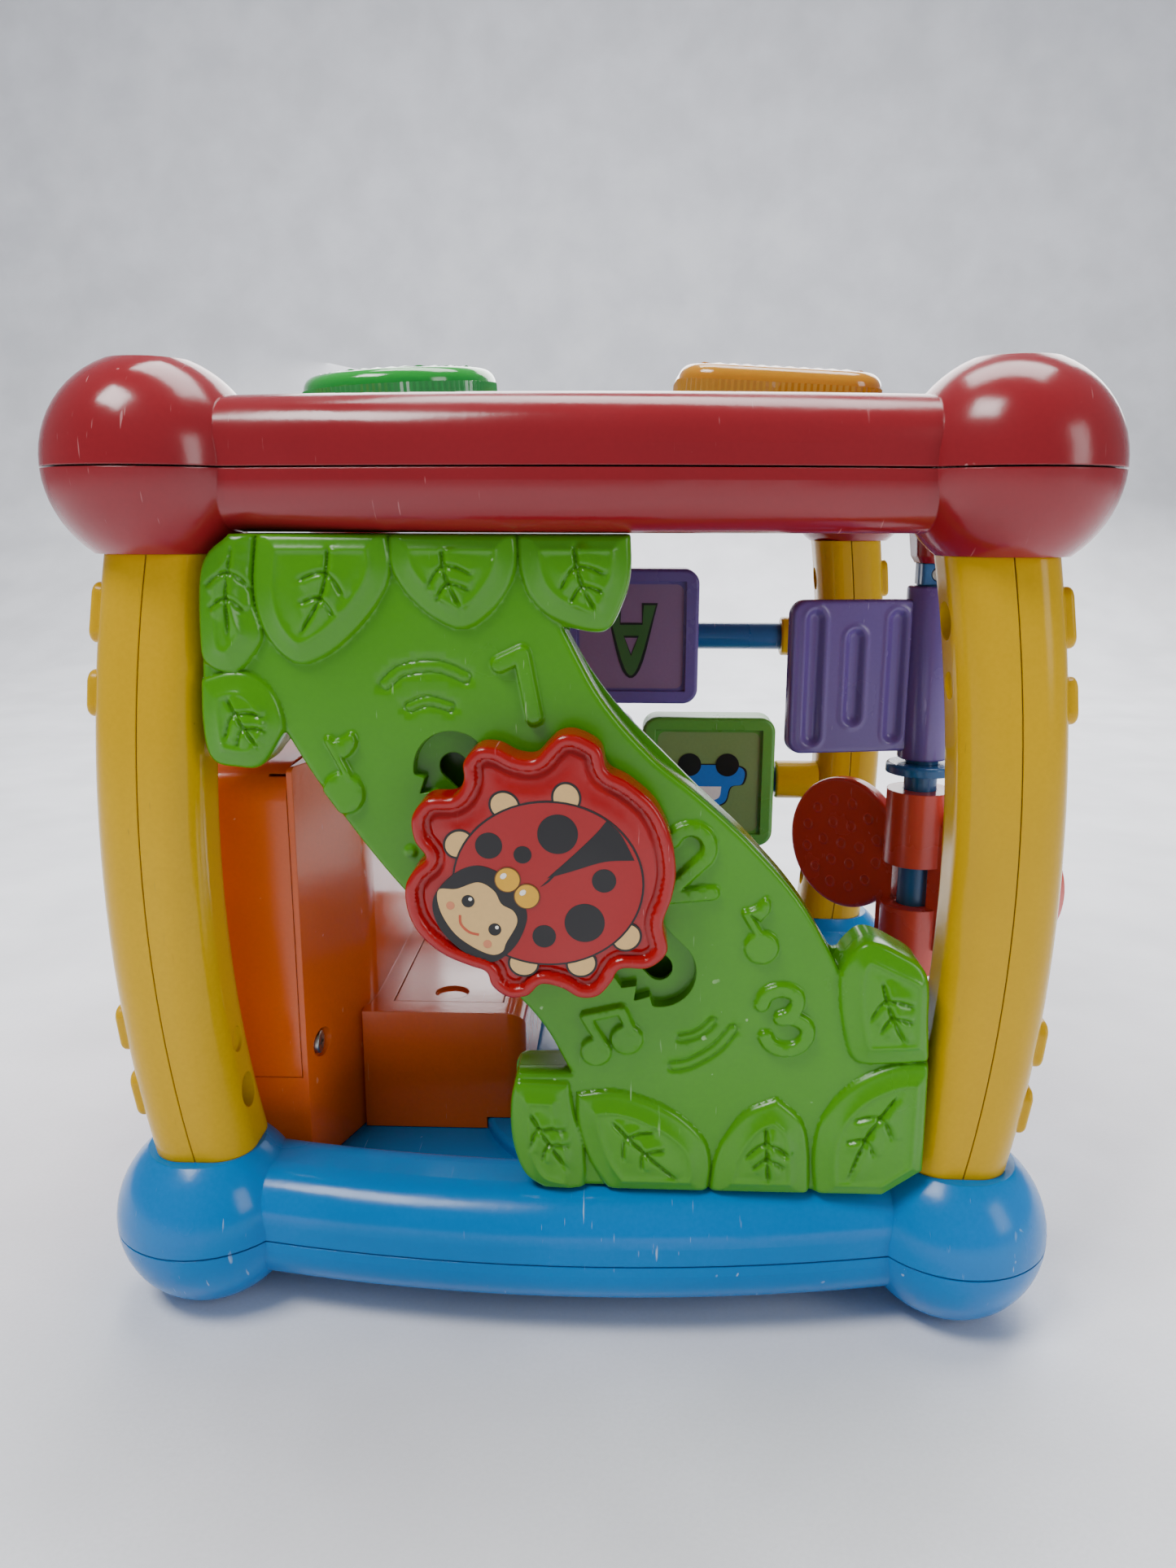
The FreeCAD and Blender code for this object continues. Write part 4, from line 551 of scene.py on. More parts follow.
def panel_height(points):
    """Return the panel's relief above its flat front at each point."""
    outline = catmull(PANEL_OUTLINE, 8)
    edge = depth_in(points, outline)
    height = np.zeros(len(points))
    for line, half in STROKES:
        gap = line_distance(points, np.array(line))[0]
        height = np.maximum(height, 1.5 * ramp(half + 0.3 - gap, 0, 0.8))
    for x, z, radius in HEADS:
        gap = np.hypot(points[:, 0] - x, points[:, 1] - z)
        height = np.maximum(height, 1.4 * ramp(radius + 0.2 - gap, 0, 0.8))
    for flag in FLAGS:
        height = np.maximum(height, 1.45 * ramp(depth_in(points, flag) + 0.1, 0, 0.8))
    for x, z, radius in DIMPLES:
        gap = np.hypot(points[:, 0] - x, points[:, 1] - z)
        height = np.maximum(height, 0.6 * ramp(radius - gap, -0.4, 0.5))
    for line, half in ARCS:
        gap = line_distance(points, line)[0]
        height -= 0.55 * np.exp(-((gap - half) / 0.38) ** 2)
    for ring, vein in LEAVES:
        depth = depth_in(points, catmull(ring, 8))
        leaf = rounded_rise(depth, 1.6) + 1.0 * ramp(depth, 1.0, 5.2) + 0.5 * ramp(depth, 5.0, 10.0)
        lip = 0.35 * np.exp(-((depth - 4.9) / 0.55) ** 2)
        for number, line in enumerate(leaf_veins(vein)):
            gap, side, station = line_distance(points, line)
            fade = ramp(station, -0.02, 0.12) * (1 - ramp(station, 0.8, 1.02))
            cut_depth = (0.95 if number == 0 else 0.75) * fade
            leaf = leaf - cut_depth * np.exp(-(gap / 0.5) ** 2)
            leaf = leaf + np.where(side > 0, 0.55 * cut_depth * np.exp(-((gap - 1.1) / 1.5) ** 2), 0)
        height = np.where(depth > 0, np.maximum(leaf + lip, height), height)
    height += rounded_rise(edge, EDGE_ROUND) - EDGE_ROUND
    in_channel = inside(points, offset_ring(channel_ring(), 0.12))
    return np.where(in_channel, -CHANNEL_DEPTH, height)


def panel_points(outline, channel, floor_ring, slot):
    """Return grid points inside the panel, denser wherever the relief changes."""
    fine = hex_grid(outline, PANEL_GRID)
    edge = depth_in(fine, outline)
    fine = fine[edge > 0.5]
    edge = edge[edge > 0.5]
    busy = edge < 1.7
    for line, half in STROKES:
        busy |= np.abs(line_distance(fine, np.array(line))[0] - half) < 0.9
    for x, z, radius in HEADS + DIMPLES:
        busy |= np.abs(np.hypot(fine[:, 0] - x, fine[:, 1] - z) - radius) < 0.9
    for line, half in ARCS:
        busy |= np.abs(line_distance(fine, line)[0] - half) < 0.9
    for flag in FLAGS:
        busy |= np.abs(depth_in(fine, flag)) < 0.9
    for ring, vein in LEAVES:
        depth = depth_in(fine, catmull(ring, 8))
        busy |= np.abs(depth - 0.6) < 1.3
        busy |= np.abs(depth - 4.9) < 0.9
        for line in leaf_veins(vein):
            busy |= (line_distance(fine, line)[0] < 1.7) & (depth > 0)
    chosen = fine[busy | sparse_mask(fine, PANEL_GRID, 4)]
    for ring in (channel, floor_ring, slot):
        chosen = chosen[line_distance(chosen, ring, True)[0] > 0.35]
    return chosen[~inside(chosen, slot)]


def build_panel():
    """Green panel with leaves, numerals, notes, the sunk channel and the slot."""
    outline = resampled(catmull(PANEL_OUTLINE, 8), 0.7)
    channel = resampled(channel_ring(), 0.6)
    floor_ring = offset_ring(channel, 0.25)
    slot = resampled(slot_ring(), 0.6)
    rings = [(outline, False), (channel, False), (floor_ring, False), (slot, True)]
    rings += [(offset_ring(outline, inset), False) for inset in (0.2, 0.45)]
    extra = panel_points(outline, channel, floor_ring, slot)
    panel = relief_solid("green_leaf_panel", rings, extra, panel_height, PANEL_FRONT,
                         PANEL_FRONT - PLATE_THICKNESS, MATERIALS["lime_plastic"], 50.0)
    finish_piece(panel, "cube", ["front_panel"])
    side = make_skirt("green_leaf_panel_side", outline, PANEL_FRONT - 4.4, PANEL_BACK, 2.2,
                      MATERIALS["lime_plastic"])
    finish_piece(side, "cube")


def make_skirt(name, outline, front, back, wall, material):
    """Make the upright wall that runs back from a panel's edge."""
    inner = offset_ring(outline, wall)
    count = len(outline)
    points = []
    for ring, depth in ((outline, front), (outline, back), (inner, back), (inner, front)):
        points += [(x, -depth, z) for x, z in ring]
    faces = []
    for band in range(4):
        for i in range(count):
            j = (i + 1) % count
            a, b = band * count, ((band + 1) % 4) * count
            faces.append((a + i, a + j, b + j, b + i))
    return make_mesh(name, points, faces, material)


build_panel()


# ---------------------------------------------------------------- ladybird

KNOB = np.array([-6.8, 120.98])
knob_low, knob_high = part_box("ladybird")
KNOB_FRONT = -knob_low.y / MM
KNOB_BACK = 109.6
# Wavy outline, from the knob's middle
KNOB_OUTLINE = [
    (7.8, 31.2), (12.8, 28.4), (14.6, 23.4), (19.3, 20.7), (25.0, 15.7), (28.4, 9.0), (29.8, 1.1),
    (29.0, -5.4),
    (27.2, -11.4), (28.2, -18.0), (24.2, -22.0), (17.8, -22.4), (15.6, -25.8), (12.6, -29.0), (8.4, -29.4),
    (4.4, -27.2), (-0.2, -26.4), (-3.4, -29.2), (-7.8, -29.6), (-11.4, -27.0), (-12.8, -23.6), (-16.9, -22.0),
    (-22.6, -19.4), (-27.6, -14.9), (-30.2, -9.6), (-30.6, -3.8), (-28.6, 0.2), (-25.8, 3.2), (-28.2, 7.2),
    (-28.6, 12.6), (-25.2, 16.6), (-19.4, 17.3), (-17.0, 20.8), (-16.9, 25.0), (-13.8, 28.2), (-9.6, 28.2),
    (-5.4, 26.2), (-1.4, 26.0), (1.4, 28.8), (4.0, 31.0)]
KNOB_RIM = 2.6
PLATE_DROP = 1.5
BODY = (1.4, -2.6, 21.1, 18.8)
KNOB_GRID = 0.5
INK_THICKNESS = 0.12
INK_ROOT = 0.25


def knob_height(points):
    """Return the ladybird's relief: a rounded rim, a groove and a slightly raised plate."""
    depth = depth_in(points, catmull([tuple(KNOB + p) for p in KNOB_OUTLINE], 8))
    rim = rounded_rise(depth, 1.3) - 1.3
    rim -= 0.25 * ramp(depth, 1.3, KNOB_RIM)
    groove = -PLATE_DROP - 0.5
    plate = -PLATE_DROP + 0.35 * ramp(depth, 5.0, 9.0)
    sink = ramp(depth, KNOB_RIM - 0.15, KNOB_RIM + 0.25)
    level = rim * (1 - sink) + groove * sink
    return level + (plate - groove) * ramp(depth, 3.9, 4.5)


def ellipse(x, z, a, b, turn=0.0, steps=64):
    """Return an ellipse's outline about the knob's middle."""
    angles = np.linspace(0, 2 * math.pi, steps, endpoint=False)
    c, s = math.cos(math.radians(turn)), math.sin(math.radians(turn))
    u, v = a * np.cos(angles), b * np.sin(angles)
    return np.stack([x + u * c - v * s, z + u * s + v * c], 1)


def print_layer(name, ring, level, ink, body, place, holes=()):
    """Make a thin printed shape about place = (x, front distance, z), in millimetres."""
    ring = np.asarray(ring, float) + (place[0], place[2])
    rings = [(ring, False)] + [(np.asarray(hole, float) + (place[0], place[2]), True) for hole in holes]
    front = place[1] + level + INK_THICKNESS
    piece = relief_solid(name, rings, [], lambda p: np.zeros(len(p)), front,
                         front - INK_THICKNESS - INK_ROOT, MATERIALS["print_" + ink], 30.0)
    return finish_piece(piece, body)


def knob_extra(outline):
    """Return the grid points that carry the rim and groove."""
    fine = hex_grid(outline, KNOB_GRID)
    depth = depth_in(fine, outline)
    return fine[(depth > 0.3) & ((depth < 5.2) | sparse_mask(fine, KNOB_GRID, 3))]


def build_ladybird():
    """Red ladybird that slides on the panel, with its printed picture in thin raised layers."""
    outline = resampled(catmull([tuple(KNOB + p) for p in KNOB_OUTLINE], 8), 0.5)
    rings = [(outline, False)]
    rings += [(offset_ring(outline, inset), False) for inset in (0.15, 0.4)]
    knob = relief_solid("ladybird_rim", rings, knob_extra(outline), knob_height, KNOB_FRONT, KNOB_BACK,
                        MATERIALS["ladybird_red"], 50.0)
    finish_piece(knob, "ladybird", ["ladybird"])
    place = (KNOB[0], KNOB_FRONT - PLATE_DROP + 0.3, KNOB[1])

    def layer(name, ring, level, ink):
        print_layer("ladybird_" + name, ring, level, ink, "ladybird", place)

    x, z, a, b = BODY
    legs = [(-8.1, 15.3, 58), (5.5, 17.2, 12), (-18.4, 6.4, 128), (19.0, -14.8, -48),
            (-4.2, -21.4, -98), (8.9, -21.3, -72)]
    for number, (lx, lz, turn) in enumerate(legs):
        layer("leg_edge_%d" % number, ellipse(lx, lz, 3.6, 3.3, turn - 90, 40), 0.0, "ink")
        layer("leg_%d" % number, ellipse(lx, lz, 3.1, 2.8, turn - 90, 40), 0.05, "cream")
    layer("body_edge", ellipse(x, z, a + 0.35, b + 0.35), 0.10, "ink")
    layer("body", ellipse(x, z, a - 0.1, b - 0.1), 0.16, "red")
    wedge = catmull([(1.2, -1.2, 1), (7.0, 4.2), (12.0, 9.2), (14.4, 12.2, 1), (17.6, 9.0), (20.6, 3.2, 1),
                     (14.0, 2.8), (7.0, 0.6)], 6)
    layer("tail", wedge, 0.22, "ink")
    split = catmull([(-0.4, -3.3, 1), (1.6, -1.4), (3.2, 0.2), (3.0, -0.5), (1.4, -2.2)], 5)
    layer("wing_split", split, 0.21, "ink")
    spots = [(3.6, 9.0, 4.5), (-11.7, 6.2, 3.0), (-4.2, 4.2, 2.0), (13.9, -1.6, 2.7), (9.6, -11.5, 4.5),
             (0.5, -14.8, 2.65)]
    for number, (sx, sz, radius) in enumerate(spots):
        layer("spot_%d" % number, ellipse(sx, sz, radius, radius), 0.22, "ink")
    hood = catmull([(-19.8, -0.6), (-14.2, 1.6), (-8.4, -0.6), (-5.4, -4.0), (-3.8, -7.4), (-3.4, -11.2),
                    (-5.6, -16.6), (-9.4, -20.4), (-12.8, -21.0), (-18.0, -18.6), (-23.2, -13.0),
                    (-24.4, -6.4)], 8)
    layer("hood", hood, 0.26, "ink")
    face = catmull([(-23.1, -4.2), (-19.1, -3.9), (-14.2, -2.3), (-10.7, -4.2), (-9.0, -7.3), (-6.3, -9.0),
                    (-5.6, -11.8), (-8.0, -16.3), (-9.0, -18.6), (-11.6, -19.3), (-16.0, -17.3),
                    (-20.0, -14.0),
                    (-22.9, -8.8)], 8)
    layer("face", face, 0.32, "cream")
    for number, (ex, ez) in enumerate(((-16.5, -6.7), (-10.6, -13.3))):
        layer("eye_%d" % number, ellipse(ex, ez, 1.45, 1.45), 0.38, "ink")
        layer("eye_light_%d" % number, ellipse(ex + 0.5, ez + 0.5, 0.42, 0.42, 0, 20), 0.44, "white")
    for number, (cx, cz) in enumerate(((-20.5, -7.8), (-12.3, -16.8))):
        layer("cheek_%d" % number, ellipse(cx, cz, 0.95, 0.95), 0.38, "blush")
    smile = [(-18.4, -10.0), (-18.2, -12.2), (-16.4, -14.0), (-14.2, -14.6)]
    line = catmull(smile, 6, False)
    upper = offset_line(line, 0.28)
    lower = offset_line(line, -0.28)
    layer("smile", np.vstack([upper, lower[::-1]]), 0.38, "smile")
    for number, (bx, bz) in enumerate(((-7.6, -1.6), (-3.3, -5.4))):
        layer("bead_edge_%d" % number, ellipse(bx, bz, 2.95, 2.95), 0.38, "brown")
        layer("bead_%d" % number, ellipse(bx, bz, 2.7, 2.7), 0.44, "gold")
        layer("bead_light_%d" % number, ellipse(bx - 0.9, bz + 0.9, 0.8, 0.6, 40, 24), 0.50, "white")


def offset_line(line, distance):
    """Move an open line sideways."""
    ahead = np.gradient(line, axis=0)
    normal = np.stack([-ahead[:, 1], ahead[:, 0]], 1) / np.hypot(*ahead.T)[:, None]
    return line + normal * distance


PRINTS = {
    "ink": "121012", "cream": "d8b070", "white": "f4f0e6", "red": "9c1214", "blush": "d08058",
    "smile": "c05030", "gold": "d9a21e", "brown": "6a4210", "letter": "3c6e32", "car": "2878d0",
    "pink": "e0bccc", "sky": "3f9fd0", "sun": "e6b820", "plum": "8a6a90", "olive": "7c9a58",
    "rose": "d06a86"}
for print_name, print_code in PRINTS.items():
    print_name = "print_" + print_name
    MATERIALS[print_name] = plastic(print_name, print_code, 0.35, grain=0.08, bevel=0.1)
MATERIALS["ladybird_red"] = plastic("ladybird_red", "a00c0e", 0.14, wear=0.15, subsurface=0.04,
                                    worn="e0a0a0")
build_ladybird()


# ---------------------------------------------------------------- picture tiles

TILE_RECESS = 1.5


def tile_face(tile, facing):
    """Return the middle of a tile's sunk face: x, distance in front of the axis, z; and its sense."""
    low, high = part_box("tile_%s_%s" % (tile, facing))
    middle = (low + high) / 2 / MM
    depth = -low.y / MM if facing == "front" else high.y / MM
    return middle.x, depth - TILE_RECESS, middle.z


def tile_print(tile, facing, name, ring, level, ink, holes=()):
    """Print a shape on a tile's sunk face; the back face is drawn from behind, so x is mirrored."""
    x, depth, z = tile_face(tile, facing)
    ring = np.asarray(ring, float)
    label = "tile_%s_%s_%s" % (tile, facing, name)
    piece = print_layer(label, ring, level, ink, "tile_" + tile, (0.0, depth, 0.0), holes)
    place = Matrix.Translation(Vector((x, 0, z)) * MM)
    piece.data.transform(place if facing == "front" else place @ Matrix.Rotation(math.pi, 4, "Z"))


def rounded_square(half, radius):
    """Return a rounded square about the origin."""
    return np.vstack([arc(sx * (half - radius), sz * (half - radius), radius, first, first + 90, 8)
                      for sx, sz, first in ((1, 1, 0), (-1, 1, 90), (-1, -1, 180), (1, -1, 270))])


def stroke_ring(line, half):
    """Return the outline of a line drawn with a round pen."""
    line = np.asarray(line, float)
    left, right = offset_line(line, half), offset_line(line, -half)
    start, end = line[0], line[-1]
    a0 = math.degrees(math.atan2(*(left[0] - start)[::-1]))
    a1 = math.degrees(math.atan2(*(right[-1] - end)[::-1]))
    return np.vstack([left, arc(end[0], end[1], half, a1 + 180, a1, 8)[1:-1], right[::-1],
                      arc(start[0], start[1], half, a0 + 180, a0, 8)[1:-1]])


def print_letter(tile, facing, upside):
    """Print a plain capital A, with a dark edge."""
    flip = np.array([upside, upside])
    for name, ink, grow, level in (("letter_edge", "ink", 0.8, 0.1), ("letter", "letter", 0.0, 0.2)):
        half = 2.3 + grow
        outer = [(-9.4 - grow, -12.2 - grow, 1), (0 - half * 1.1, 12.2 + grow), (0 + half * 1.1, 12.2 + grow),
                 (9.4 + grow, -12.2 - grow, 1), (9.4 - 2 * half + grow, -12.2 - grow, 1),
                 (4.4 - grow * 0.3, -4.6 - grow, 1), (-4.4 + grow * 0.3, -4.6 - grow, 1),
                 (-9.4 + 2 * half - grow, -12.2 - grow, 1)]
        hole = [(-3.0 + grow * 0.6, -0.4 + grow, 1), (3.0 - grow * 0.6, -0.4 + grow, 1), (0, 7.6 - grow, 1)]
        tile_print(tile, facing, name, catmull(outer, 5) * flip, level, ink,
                   [catmull(hole, 3)[::-1] * flip])


def print_car(tile, facing, upside):
    """Print a simple rounded car with two wheels and a window."""
    flip = np.array([1, upside])
    body = [(-13.5, -5.5), (-13.8, -1.0), (-9.5, 1.5), (-6.5, 8.0), (0.0, 10.0), (6.8, 8.2), (9.0, 2.0),
            (13.6, 0.6), (14.2, -5.0), (8.0, -6.8), (-8.0, -6.8)]
    tile_print(tile, facing, "car_edge", catmull(body, 6) * flip * 1.06, 0.1, "ink")
    tile_print(tile, facing, "car", catmull(body, 6) * flip, 0.18, "car")
    window = [(-3.8, 1.8, 1), (-3.4, 6.8), (0.8, 7.6), (4.6, 6.2), (5.4, 1.8, 1)]
    tile_print(tile, facing, "car_window", catmull(window, 6) * flip, 0.26, "white")
    for number, wx in enumerate((-7.4, 7.6)):
        tile_print(tile, facing, "car_wheel_%d" % number, ellipse(wx, -7.0 * upside, 4.6, 4.6),
                   0.28, "ink")


def print_flower(tile, facing, petal, middle):
    """Print a plain flower with five petals."""
    angles = np.linspace(0, 2 * math.pi, 120, endpoint=False)
    radius = 9.5 + 3.2 * np.cos(5 * angles)
    ring = np.stack([radius * np.cos(angles), radius * np.sin(angles)], 1)
    tile_print(tile, facing, "flower_edge", ring * 1.07, 0.1, "ink")
    tile_print(tile, facing, "flower", ring, 0.18, petal)
    tile_print(tile, facing, "flower_middle", ellipse(0, 0, 4.2, 4.2), 0.26, middle)


FOUR = (("stem", [(3.4, -11.4), (3.4, 0.0), (3.4, 11.4)]),
        ("bar", [(3.4, 11.4), (-3.0, 3.5), (-8.6, -4.4)]),
        ("foot", [(-8.6, -4.4), (0.0, -4.4), (9.2, -4.4)]))


def print_numeral(tile, facing):
    """Print a plain numeral 4."""
    for name, ink, grow, level in (("four_edge", "ink", 0.8, 0.1), ("four", "sun", 0.0, 0.2)):
        w = 2.2 + grow
        for number, (part, line) in enumerate(FOUR):
            tile_print(tile, facing, name + "_" + part, stroke_ring(line, w), level + 0.03 * number, ink)


def build_tiles():
    """Printed pictures and the sunk plates' own colours."""
    plates = {"a": "plum", "b": "pink", "c": "olive", "d": "sun"}
    for tile, plate in plates.items():
        for facing in ("front", "back"):
            tile_print(tile, facing, "plate", rounded_square(20.2, 3.0), -0.1, plate)
    print_letter("a", "front", -1)
    print_flower("a", "back", "rose", "sun")
    print_car("c", "front", -1)
    print_numeral("c", "back")
    print_flower("b", "front", "rose", "sun")
    print_letter("b", "back", 1)
    print_numeral("d", "front")
    print_car("d", "back", 1)


build_tiles()


# ---------------------------------------------------------------- buttons, pages and spinner

def lathe(name, profile, steps, material):
    """Turn a closed profile of (radius, height) points into a ring-shaped mesh."""
    points, faces = [], []
    count = len(profile)
    for i in range(steps):
        angle = 2 * math.pi * i / steps
        points += [(r * math.cos(angle), r * math.sin(angle), z) for r, z in profile]
    for i in range(steps):
        j = (i + 1) % steps
        for k in range(count):
            n = (k + 1) % count
            faces.append((i * count + k, j * count + k, j * count + n, i * count + n))
    return make_mesh(name, points, faces, material, 40.0)


def prism(name, ring, low, high, material, smooth=30.0):
    """Stand an XY outline up between two heights, with both ends closed."""
    ring = np.asarray(ring, float)
    count = len(ring)
    points = [(x, y, z) for z in (low, high) for x, y in ring]
    faces = [(i, (i + 1) % count, count + (i + 1) % count, count + i) for i in range(count)]
    faces += [tuple(range(count - 1, -1, -1)), tuple(range(count, 2 * count))]
    return make_mesh(name, points, faces, material, smooth)


BUTTON_OFFSET = 48.0
BUTTON_HALF = 24.8
DOME_RADIUS = 890.0
DOME_TOP = 229.0


def on_dome(side_x, side_y):
    """Return the placement of a button's own frame on the domed panel."""
    foot = Vector((BUTTON_OFFSET * side_x, BUTTON_OFFSET * side_y, 0.0))
    height = math.sqrt(DOME_RADIUS ** 2 - foot.length ** 2)
    turn = Vector((foot.x, foot.y, height)).to_track_quat("Z", "Y").to_matrix().to_4x4()
    ahead = turn.to_3x3() @ Vector((1, 0, 0))
    place = Matrix.Translation(Vector((foot.x, foot.y, height + DOME_TOP - DOME_RADIUS)) * MM)
    return place @ turn @ Matrix.Rotation(-math.atan2(ahead.y, ahead.x), 4, "Z")


def ribbed(ring, pitch, height):
    """Give an outline small triangular ribs all round."""
    ring = np.asarray(resampled(ring, pitch / 2), float)
    if len(ring) % 2:
        ring = ring[:-1]
    centre = ring.mean(0)
    out = (ring - centre) / np.hypot(*(ring - centre).T)[:, None]
    ring[::2] += out[::2] * height
    return ring


def facets(points):
    """Return a field of small pyramids, in millimetres."""
    pitch = 3.4
    u = np.abs((points[:, 0] / pitch) % 1.0 - 0.5)
    v = np.abs((points[:, 1] / pitch) % 1.0 - 0.5)
    return 0.45 - 0.9 * np.maximum(u, v)


def button_ring(name, grow):
    """Return a button's outline about its own middle."""
    if name == "green":
        return ellipse(0, 0, BUTTON_HALF + grow, BUTTON_HALF + grow, 0, 120)
    if name == "amber":
        return rounded_square(BUTTON_HALF + grow, 10.0 + grow)
    corners, reach, radius = (6, 27.5, 6.0) if name == "purple" else (3, 35.0, 10.0)
    turns = [90 + 360.0 * i / corners for i in range(corners)]
    inner = reach - radius / math.cos(math.pi / corners)
    return np.vstack([arc(inner * math.cos(math.radians(a)), inner * math.sin(math.radians(a)), radius + grow,
                          a - 180.0 / corners, a + 180.0 / corners, 10) for a in turns])


def build_buttons():
    """Ribs round each clear button and a faceted lens under its top."""
    for name, side_x, side_y in (("green", -1, -1), ("amber", 1, -1), ("purple", -1, 1), ("red", 1, 1)):
        body = "button_" + name
        material = MATERIALS["lens_" + name]
        place = on_dome(side_x, side_y)
        ribs = prism(body + "_ribs", ribbed(button_ring(name, 0.02), 1.5, 0.3), 0.4, 4.4, material, 10.0)
        ribs.data.transform(place)
        finish_piece(ribs, body)
        outline = resampled(button_ring(name, -4.2), 0.8)
        spacing = 0.85
        xs = np.arange(-34, 34, spacing)
        grid = np.array([(x, y) for x in xs for y in xs])
        grid = grid[inside(grid, outline)]
        grid = grid[depth_in(grid, outline) > 0.4]
        lens = relief_solid(body + "_lens", [(outline, False)], grid, facets, 8.05, 7.4, material, 12.0)
        lens.data.transform(place @ Matrix.Rotation(-math.pi / 2, 4, "X"))
        finish_piece(lens, body)


UPRIGHT = (103.0, -8.5)
PAGE_TURN = 10.0
SPINNER_TURN = 132.0
PAGE_GROOVES = ((-37.0, 35.2), (-24.4, 23.4), (-11.4, 34.6))


def on_upright(turn):
    """Return the placement of a page turned about the upright rod by some degrees."""
    place = Matrix.Translation(Vector((UPRIGHT[0], UPRIGHT[1], 0)) * MM)
    return place @ Matrix.Rotation(math.radians(turn), 4, "Z")


def page_height(points, mirror):
    """Return the purple page's relief: three round-bottomed grooves with raised outlines."""
    level = np.zeros(len(points))
    for x, length in PAGE_GROOVES:
        run = np.clip(points[:, 1], 151.5 - length / 2, 151.5 + length / 2)
        distance = np.hypot(points[:, 0] - mirror * x, points[:, 1] - run)
        level -= 1.5 * (1 - ramp(distance, 0.9, 3.1))
        level += 0.38 * np.exp(-((distance - 3.55) / 0.5) ** 2)
    outline = page_outline(mirror)
    level -= 1.1 - rounded_rise(depth_in(points, outline), 1.1)
    return level


def page_outline(mirror):
    """Return the page's outline, pointing to -X or, seen from behind, to +X."""
    ring = np.vstack([[(-3.0, 128.5)], [(-3.0, 174.5)], arc(-39.6, 170.1, 4.4, 90, 180, 10),
                      arc(-39.6, 132.9, 4.4, 180, 270, 10)])
    ring = ring * np.array([mirror, 1.0])
    return ring if mirror > 0 else ring[::-1]


def build_page():
    """Purple page: a sleeve and a plate with grooves on both faces."""
    place = on_upright(PAGE_TURN)
    purple = MATERIALS["purple_plastic"]
    for side, mirror in (("front", 1.0), ("back", -1.0)):
        outline = resampled(page_outline(mirror), 0.7)
        fine = hex_grid(outline, 0.7)
        fine = fine[depth_in(fine, outline) > 0.35]
        rings = [(outline, False), (offset_ring(outline, 0.2), False)]
        plate = relief_solid("page_purple_" + side, rings, fine, lambda p: page_height(p, mirror),
                             2.6, 0.0, purple, 50.0)
        turn = Matrix.Identity(4) if mirror > 0 else Matrix.Rotation(math.pi, 4, "Z")
        plate.data.transform(place @ turn)
        finish_piece(plate, "page_purple", ["page_purple"] if mirror > 0 else None)
    low, high = 125.9, 178.4
    profile = [(5.1, low), (7.1, low), (7.45, low + 0.2), (7.6, low + 0.6), (7.6, high - 0.8),
               (7.4, high - 0.25), (6.9, high), (5.1, high)]
    sleeve = lathe("page_purple_sleeve", profile, 72, purple)
    sleeve.data.transform(place)
    finish_piece(sleeve, "page_purple")


def build_dimples():
    """Small raised rings on both faces of the red spinner's leaves."""
    place = on_upright(SPINNER_TURN)
    spots = [(0.0, 0.0)] + [(7.4 * math.cos(a), 7.4 * math.sin(a)) for a in np.arange(6) * math.pi / 3]
    spots += [(14.6 * math.cos(a), 14.6 * math.sin(a)) for a in np.arange(12) * math.pi / 6 + 0.26]
    for leaf in (-1, 1):
        for face in (-1, 1):
            points, faces = [], []
            for dx, dz in spots:
                base = len(points)
                for i in range(20):
                    a = 2 * math.pi * i / 20
                    for radius, rise in ((1.0, -0.4), (1.25, 0.12), (1.6, 0.22), (1.95, 0.12), (2.2, -0.4)):
                        points.append((leaf * 27.0 + dx + radius * math.cos(a), face * (2.6 + rise),
                                       93.0 + dz + radius * math.sin(a)))
                for i in range(20):
                    j = (i + 1) % 20
                    for k in range(5):
                        n = (k + 1) % 5
                        quad = (base + i * 5 + k, base + i * 5 + n, base + j * 5 + n, base + j * 5 + k)
                        faces.append(quad if face > 0 else quad[::-1])
            name = "page_red_dimples_%d" % (leaf + 1 + (face + 1) // 2)
            piece = make_mesh(name, points, faces, MATERIALS["dark_red_plastic"], 60.0)
            piece.data.transform(place)
            finish_piece(piece, "page_red")


for lens_name, lens_code in (("green", "48d060"), ("amber", "f0b02c"), ("purple", "8a7ce8"),
("red", "f05060")):
    MATERIALS["lens_" + lens_name] = plastic("lens_" + lens_name, lens_code, 0.08, grain=0.05,
                                             bevel=0.0, coat=0.4, transmission=0.45)
build_buttons()
build_page()
build_dimples()


# ---------------------------------------------------------------- stage, light and camera

# Studio lights: name, place, target, width, height, power
LIGHTS = [
    ("key_light", (-0.5, -0.5, 1.2), (0, 0, 0.12), 0.5, 0.35, 12),
    ("top_light", (0.1, 0.25, 1.3), (0, 0, 0.1), 1.0, 0.5, 17),
    ("fill_light", (0.95, -0.7, 0.5), (0, 0, 0.12), 0.35, 0.6, 3),
    ("back_light", (0.2, 1.15, 0.75), (0, 0.1, 0.1), 1.4, 0.8, 20),
]
WORLD_COLOUR = (0.80, 0.84, 0.90, 1)
WORLD_STRENGTH = 0.36


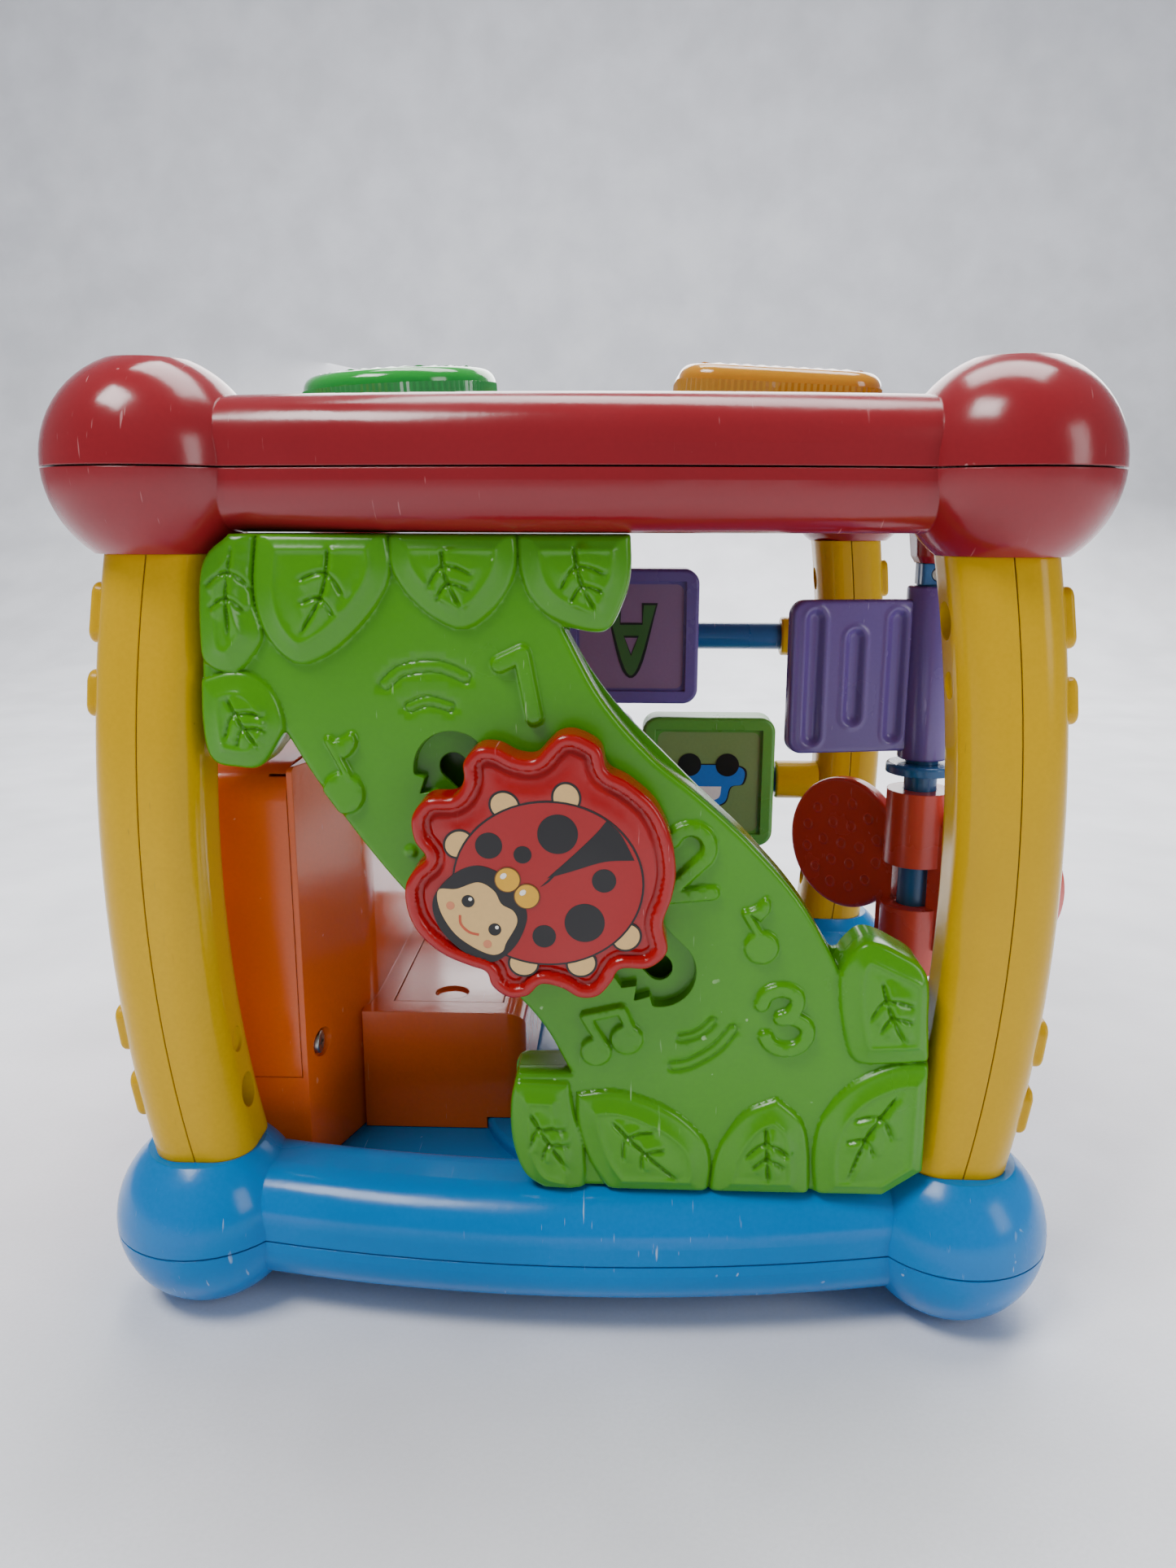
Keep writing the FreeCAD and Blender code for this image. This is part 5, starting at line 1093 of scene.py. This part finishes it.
def area_light(name, place, target, width, height, power):
    """Add a soft rectangular light aimed at a point."""
    data = bpy.data.lights.new(name, "AREA")
    data.shape = "RECTANGLE"
    data.size = width
    data.size_y = height
    data.energy = power
    lamp = bpy.data.objects.new(name, data)
    lamp.location = place
    lamp.rotation_euler = (Vector(target) - Vector(place)).to_track_quat("-Z", "Y").to_euler()
    bpy.context.scene.collection.objects.link(lamp)


def build_stage():
    """Pale curved backdrop, studio lights and the world."""
    paper = plastic("backdrop_paper", "eeeff4", 0.7, grain=0.02, bevel=0.0, specular=0.2)
    reach = 3.5
    radius = 0.6
    back = 0.9
    profile = [(-3.0, 0.0), (back, 0.0)]
    profile += [(back + radius * math.sin(a), radius - radius * math.cos(a))
                for a in [math.radians(v) for v in range(5, 91, 5)]]
    profile.append((back + radius, 3.5))
    mesh = bpy.data.meshes.new("backdrop")
    points = [(x, y, z) for y, z in profile for x in (-reach, reach)]
    faces = [(2 * i, 2 * i + 1, 2 * i + 3, 2 * i + 2) for i in range(len(profile) - 1)]
    mesh.from_pydata(points, [], faces)
    mesh.materials.append(paper)
    for polygon in mesh.polygons:
        polygon.use_smooth = True
    backdrop = bpy.data.objects.new("backdrop", mesh)
    bpy.context.scene.collection.objects.link(backdrop)
    for light in LIGHTS:
        area_light(*light)
    world = bpy.data.worlds.new("studio")
    world.use_nodes = True
    background = world.node_tree.nodes["Background"]
    background.inputs["Color"].default_value = WORLD_COLOUR
    background.inputs["Strength"].default_value = WORLD_STRENGTH
    bpy.context.scene.world = world


def build_camera():
    """Stand the camera low in front of the cube, tilted down."""
    data = bpy.data.cameras.new("camera")
    data.sensor_fit = "VERTICAL"
    data.sensor_height = 36.0
    data.lens = 26.63
    data.clip_start = 0.01
    camera = bpy.data.objects.new("camera", data)
    camera.location = Vector((12.44, -364.26, 197.75)) * MM
    tilt = Matrix.Rotation(math.radians(2.085), 4, "Z") @ Matrix.Rotation(math.radians(90 - 12.88), 4, "X")
    camera.rotation_euler = (tilt @ Matrix.Rotation(math.radians(0.14), 4, "Z")).to_euler()
    bpy.context.scene.collection.objects.link(camera)
    bpy.context.scene.camera = camera


build_stage()
build_camera()
